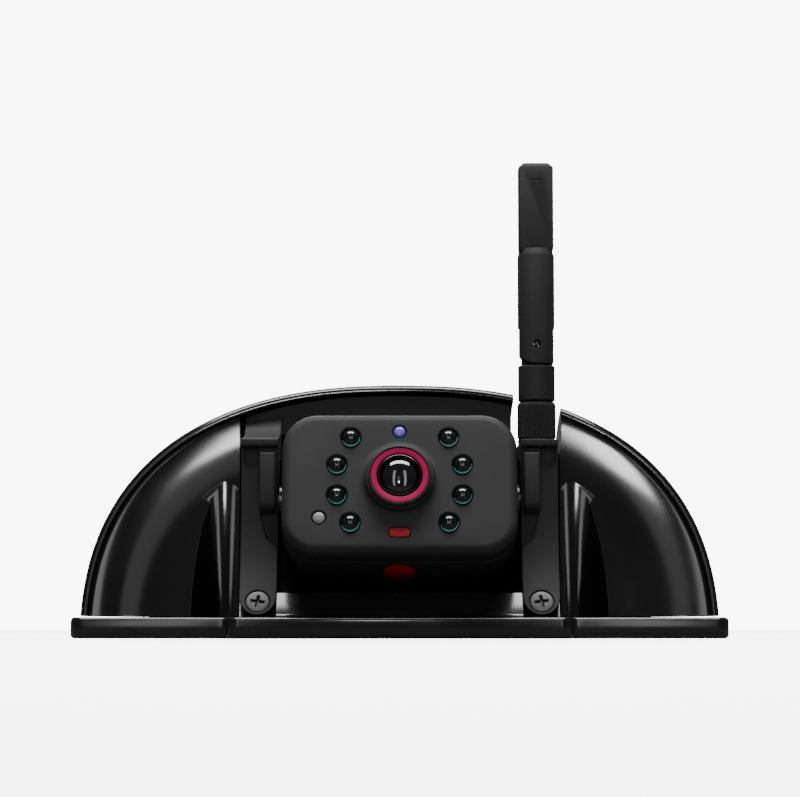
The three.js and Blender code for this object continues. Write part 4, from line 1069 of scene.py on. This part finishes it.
def make_blade():
    bottom = SHOULDER + 0.3
    radius = STEM_RADIUS + 0.05
    blade = lathe("antenna_blade_cover", [
        (0, bottom), (radius - 0.35, bottom), (radius, bottom + 0.35), (radius, BLADE_START - 2.2),
        (radius - 0.25, BLADE_START - 1.4), (radius - 0.9, BLADE_START), (0, BLADE_START),
    ], 96)
    half = (blade_hi.x - blade_lo.x) / 2 / MM - 0.3
    thick = 3.2
    levels = [
        (BLADE_START - 4.0, half - 1.5, thick - 1.2), (BLADE_START - 2.0, half - 0.7, thick - 0.5),
        (BLADE_START - 0.6, half - 0.15, thick - 0.1), (BLADE_START + 0.6, half, thick),
        (BLADE_TOP - 1.4, half, thick), (BLADE_TOP - 0.9, half - 0.5, thick - 0.18),
        (BLADE_TOP - 0.25, half - 1.15, thick - 0.5), (BLADE_TOP, half - 1.6, thick - 0.95),
    ]
    rings = []
    for height, wide, deep in levels:
        ring = rounded(wide * MM, deep * MM, 0.7 * MM, 5)
        rings.append([Vector((x, y, height * MM)) for x, y in ring])
    carve(blade, [loft("paddle", rings)], "UNION")
    slot_half = (TONGUE_HALF + 0.3) * MM
    slot_top = (HINGE + TONGUE_RADIUS + 0.6) * MM
    reach = (STEM_RADIUS + 1) * MM
    slot = block("slot", -reach, reach, -slot_half, slot_half, (SHOULDER - 1) * MM, slot_top)
    relief = block("relief", -reach - MM, 0, -reach - MM, reach + MM, (SHOULDER - 1) * MM, HINGE * MM)
    carve(relief, [about_pin("relief_round", HINGE - SHOULDER - 0.3, STEM_RADIUS + 3, 64)])
    well = rod("radiator_well", 1.2 * MM, slot_top - MM, (BLADE_TOP - 5) * MM, 24)
    tools = [slot, relief, about_pin("pin_hole", PIN_RADIUS + 0.3, STEM_RADIUS + 2, 32), well]
    for side in (-1, 1):
        groove = prism("thumb_groove", rounded(1.7 * MM, 0.16 * MM, 0.15 * MM, 3), -MM, 0.2 * MM)
        lift = (BLADE_TOP - 5.2) * MM
        place = at(0, side * thick * MM, lift) @ turned_x(90 * side)
        tools.append(moved(groove, place))
    carve(blade, tools)
    finished(moved(blade, on_seat), "antenna_top", "matte_plastic", MATTE, "antenna_blade")


def make_pin():
    reach = STEM_RADIUS - 0.4
    pin = lathe("hinge_pin", [
        (0, -reach), (PIN_RADIUS - 0.15, -reach), (PIN_RADIUS, -reach + 0.15),
        (PIN_RADIUS, reach - 0.15), (PIN_RADIUS - 0.15, reach), (0, reach),
    ], 32)
    pin = moved(pin, on_seat @ at(0, 0, HINGE * MM) @ turned_x(90))
    finished(pin, "antenna_base", "steel", SATIN, "antenna_hinge_pin")


make_coupling_nut()
make_elbow()
make_blade()
make_pin()


# ---- Screws that show ----

def cross_head(name, radius, shank, length, reach, width, depth):
    """A slightly domed screw head about +Z with a tapered cross recess."""
    profile = [
        (0, -length), (shank, -length), (shank, -(radius - shank) - 0.2), (radius, -0.45), (radius, -0.25),
    ]
    for step in range(1, 9):
        turn = math.pi / 2 * step / 8
        profile.append((radius - 0.35 * (1 - math.cos(turn)) - radius * 0.75 * (step / 8) ** 2,
                        -0.25 + 0.25 * math.sin(turn)))
    profile.append((0, 0.0))
    head = lathe(name, profile, 64)
    arms = []
    for turn in (0, 90):
        rings = []
        for height, scale in ((0.3, 1.15), (0.0, 1.0), (-depth, 0.55)):
            ring = rounded(reach * scale * MM, width * scale * MM, width * scale * 0.45 * MM, 4)
            rings.append([Vector((x, y, height * MM)) for x, y in ring])
        arms.append(moved(loft("cross", rings), Matrix.Rotation(math.radians(turn), 4, "Z")))
    return carve(head, arms)


for side, node in ((-1, "bracket_screw_left"), (1, "bracket_screw_right")):
    screw = cross_head(node.replace("bracket", "foot"), 3.25, 1.5, 7.5, 2.1, 0.5, 1.3)
    screw = moved(screw, foot_matrix(side) @ Matrix.Rotation(math.radians(8 * side), 4, "Z"))
    finished(screw, "housing", "screw_steel", STEEL_GREY, node)


# ---- CAD nodes whose shape stays ----

KEPT = {
    "base_gasket": RUBBER, "head_gasket": RUBBER,
    "base_cable_grommet": RUBBER, "head_cable_grommet": RUBBER,
    "shell_screw_": STEEL, "head_screw_": STEEL, "board_screw_": STEEL, "pivot_screw_": STEEL_GREY,
    "friction_washer_": SATIN, "radio_board": BOARD, "sensor_board": BOARD, "led_board": BOARD,
    "radio_shield_can": STEEL, "power_connector": GREY,
    "antenna_pigtail": RUBBER, "antenna_jack_seal": RUBBER,
    "antenna_jack_nut": BRASS, "antenna_jack": BRASS, "antenna_radiator": COPPER,
    "rear_lens_element": GLASS, "infrared_cut_filter": GLASS, "lens_holder": SATIN, "image_sensor": GLASS,
}
for node, piece in frame["nodes"].items():
    for start, material in KEPT.items():
        if node.startswith(start):
            piece.data.materials.clear()
            piece.data.materials.append(material)
            break


# ---- Stage, light and camera ----

WORLD_LIGHT = 0.12
BACKDROP = 9.0
FLOOR_GLOW = 5.0
CAMERA_DISTANCE = 0.70
CAMERA_HEIGHT = 0.003
CAMERA_PITCH = 5.2
LENS = 113.4

# Each light's name, place, aim, width, height and power, in metres and watts.
LIGHTS = [
    ("key", (0.0, -0.14, 0.95), (0, -0.05, 0.04), 0.8, 0.4, 20),
    ("strip_left", (-0.27, -1.0, 0.47), (0, -0.04, 0.05), 0.12, 0.9, 1.1),
    ("strip_right", (0.27, -1.0, 0.47), (0, -0.04, 0.05), 0.12, 0.9, 1.2),
    ("low_front", (-0.02, -0.60, 0.26), (0, -0.035, 0.048), 0.06, 0.2, 0.03),
    ("card", (-0.020, -0.616, 0.195), (-0.05, -0.035, 0.05), 0.04, 0.06, 0.3),
    ("back", (0.0, 1.0, 0.7), (0, 0, 0.04), 0.9, 0.4, 10),
]


def make_floor():
    """A pale floor, which lights the piece from below much less than it shows to the camera."""
    floor = block("floor", -1.6, 1.6, -1.6, 2.4, -0.02, -0.0004)
    material = plain("floor_paper", (0.8, 0.8, 0.8), (0.788, 0.788, 0.788), (0.6, 0.65),
                     grain=400, bump=0.02, blotch=4)
    tree = material.node_tree
    shader = tree.nodes["Principled BSDF"]
    out = tree.nodes["Material Output"]
    dim = tree.nodes.new("ShaderNodeBsdfDiffuse")
    dim.inputs["Color"].default_value = (0.12, 0.12, 0.12, 1)
    shader.inputs["Emission Color"].default_value = (1, 1, 1, 1)
    shader.inputs["Emission Strength"].default_value = FLOOR_GLOW
    path = tree.nodes.new("ShaderNodeLightPath")
    blend = tree.nodes.new("ShaderNodeMixShader")
    tree.links.new(path.outputs["Is Camera Ray"], blend.inputs["Fac"])
    tree.links.new(dim.outputs["BSDF"], blend.inputs[1])
    tree.links.new(shader.outputs["BSDF"], blend.inputs[2])
    tree.links.new(blend.outputs["Shader"], out.inputs["Surface"])
    floor.data.materials.append(material)


def make_world():
    """A white background that the camera sees, much dimmer as a light."""
    world = bpy.data.worlds.new("studio")
    world.use_nodes = True
    tree = world.node_tree
    tree.nodes.clear()
    out = tree.nodes.new("ShaderNodeOutputWorld")
    seen = tree.nodes.new("ShaderNodeBackground")
    seen.inputs["Color"].default_value = (1, 1, 1, 1)
    seen.inputs["Strength"].default_value = BACKDROP
    lit = tree.nodes.new("ShaderNodeBackground")
    lit.inputs["Color"].default_value = (1, 1, 1, 1)
    lit.inputs["Strength"].default_value = WORLD_LIGHT
    path = tree.nodes.new("ShaderNodeLightPath")
    blend = tree.nodes.new("ShaderNodeMixShader")
    tree.links.new(path.outputs["Is Camera Ray"], blend.inputs["Fac"])
    tree.links.new(lit.outputs["Background"], blend.inputs[1])
    tree.links.new(seen.outputs["Background"], blend.inputs[2])
    tree.links.new(blend.outputs["Shader"], out.inputs["Surface"])
    bpy.context.scene.world = world


def softbox(name, place, aim, width, height, power):
    """A rectangular light at a place, turned to face a point."""
    lamp = bpy.data.lights.new(name, "AREA")
    lamp.shape = "RECTANGLE"
    lamp.size = width
    lamp.size_y = height
    lamp.energy = power
    holder = bpy.data.objects.new(name, lamp)
    bpy.context.scene.collection.objects.link(holder)
    place = Vector(place)
    turn = (Vector(aim) - place).to_track_quat("-Z", "Y").to_matrix().to_4x4()
    holder.matrix_world = Matrix.Translation(place) @ turn


def make_camera():
    data = bpy.data.cameras.new("camera")
    data.lens = LENS
    data.sensor_fit = "HORIZONTAL"
    data.sensor_width = 36
    data.clip_start = 0.01
    data.clip_end = 20
    camera = bpy.data.objects.new("camera", data)
    bpy.context.scene.collection.objects.link(camera)
    place = at(0.0001, base_lo.y + MM - CAMERA_DISTANCE, CAMERA_HEIGHT)
    camera.matrix_world = place @ turned_x(90 + CAMERA_PITCH)
    bpy.context.scene.camera = camera


make_floor()
make_world()
for light in LIGHTS:
    softbox(*light)
make_camera()
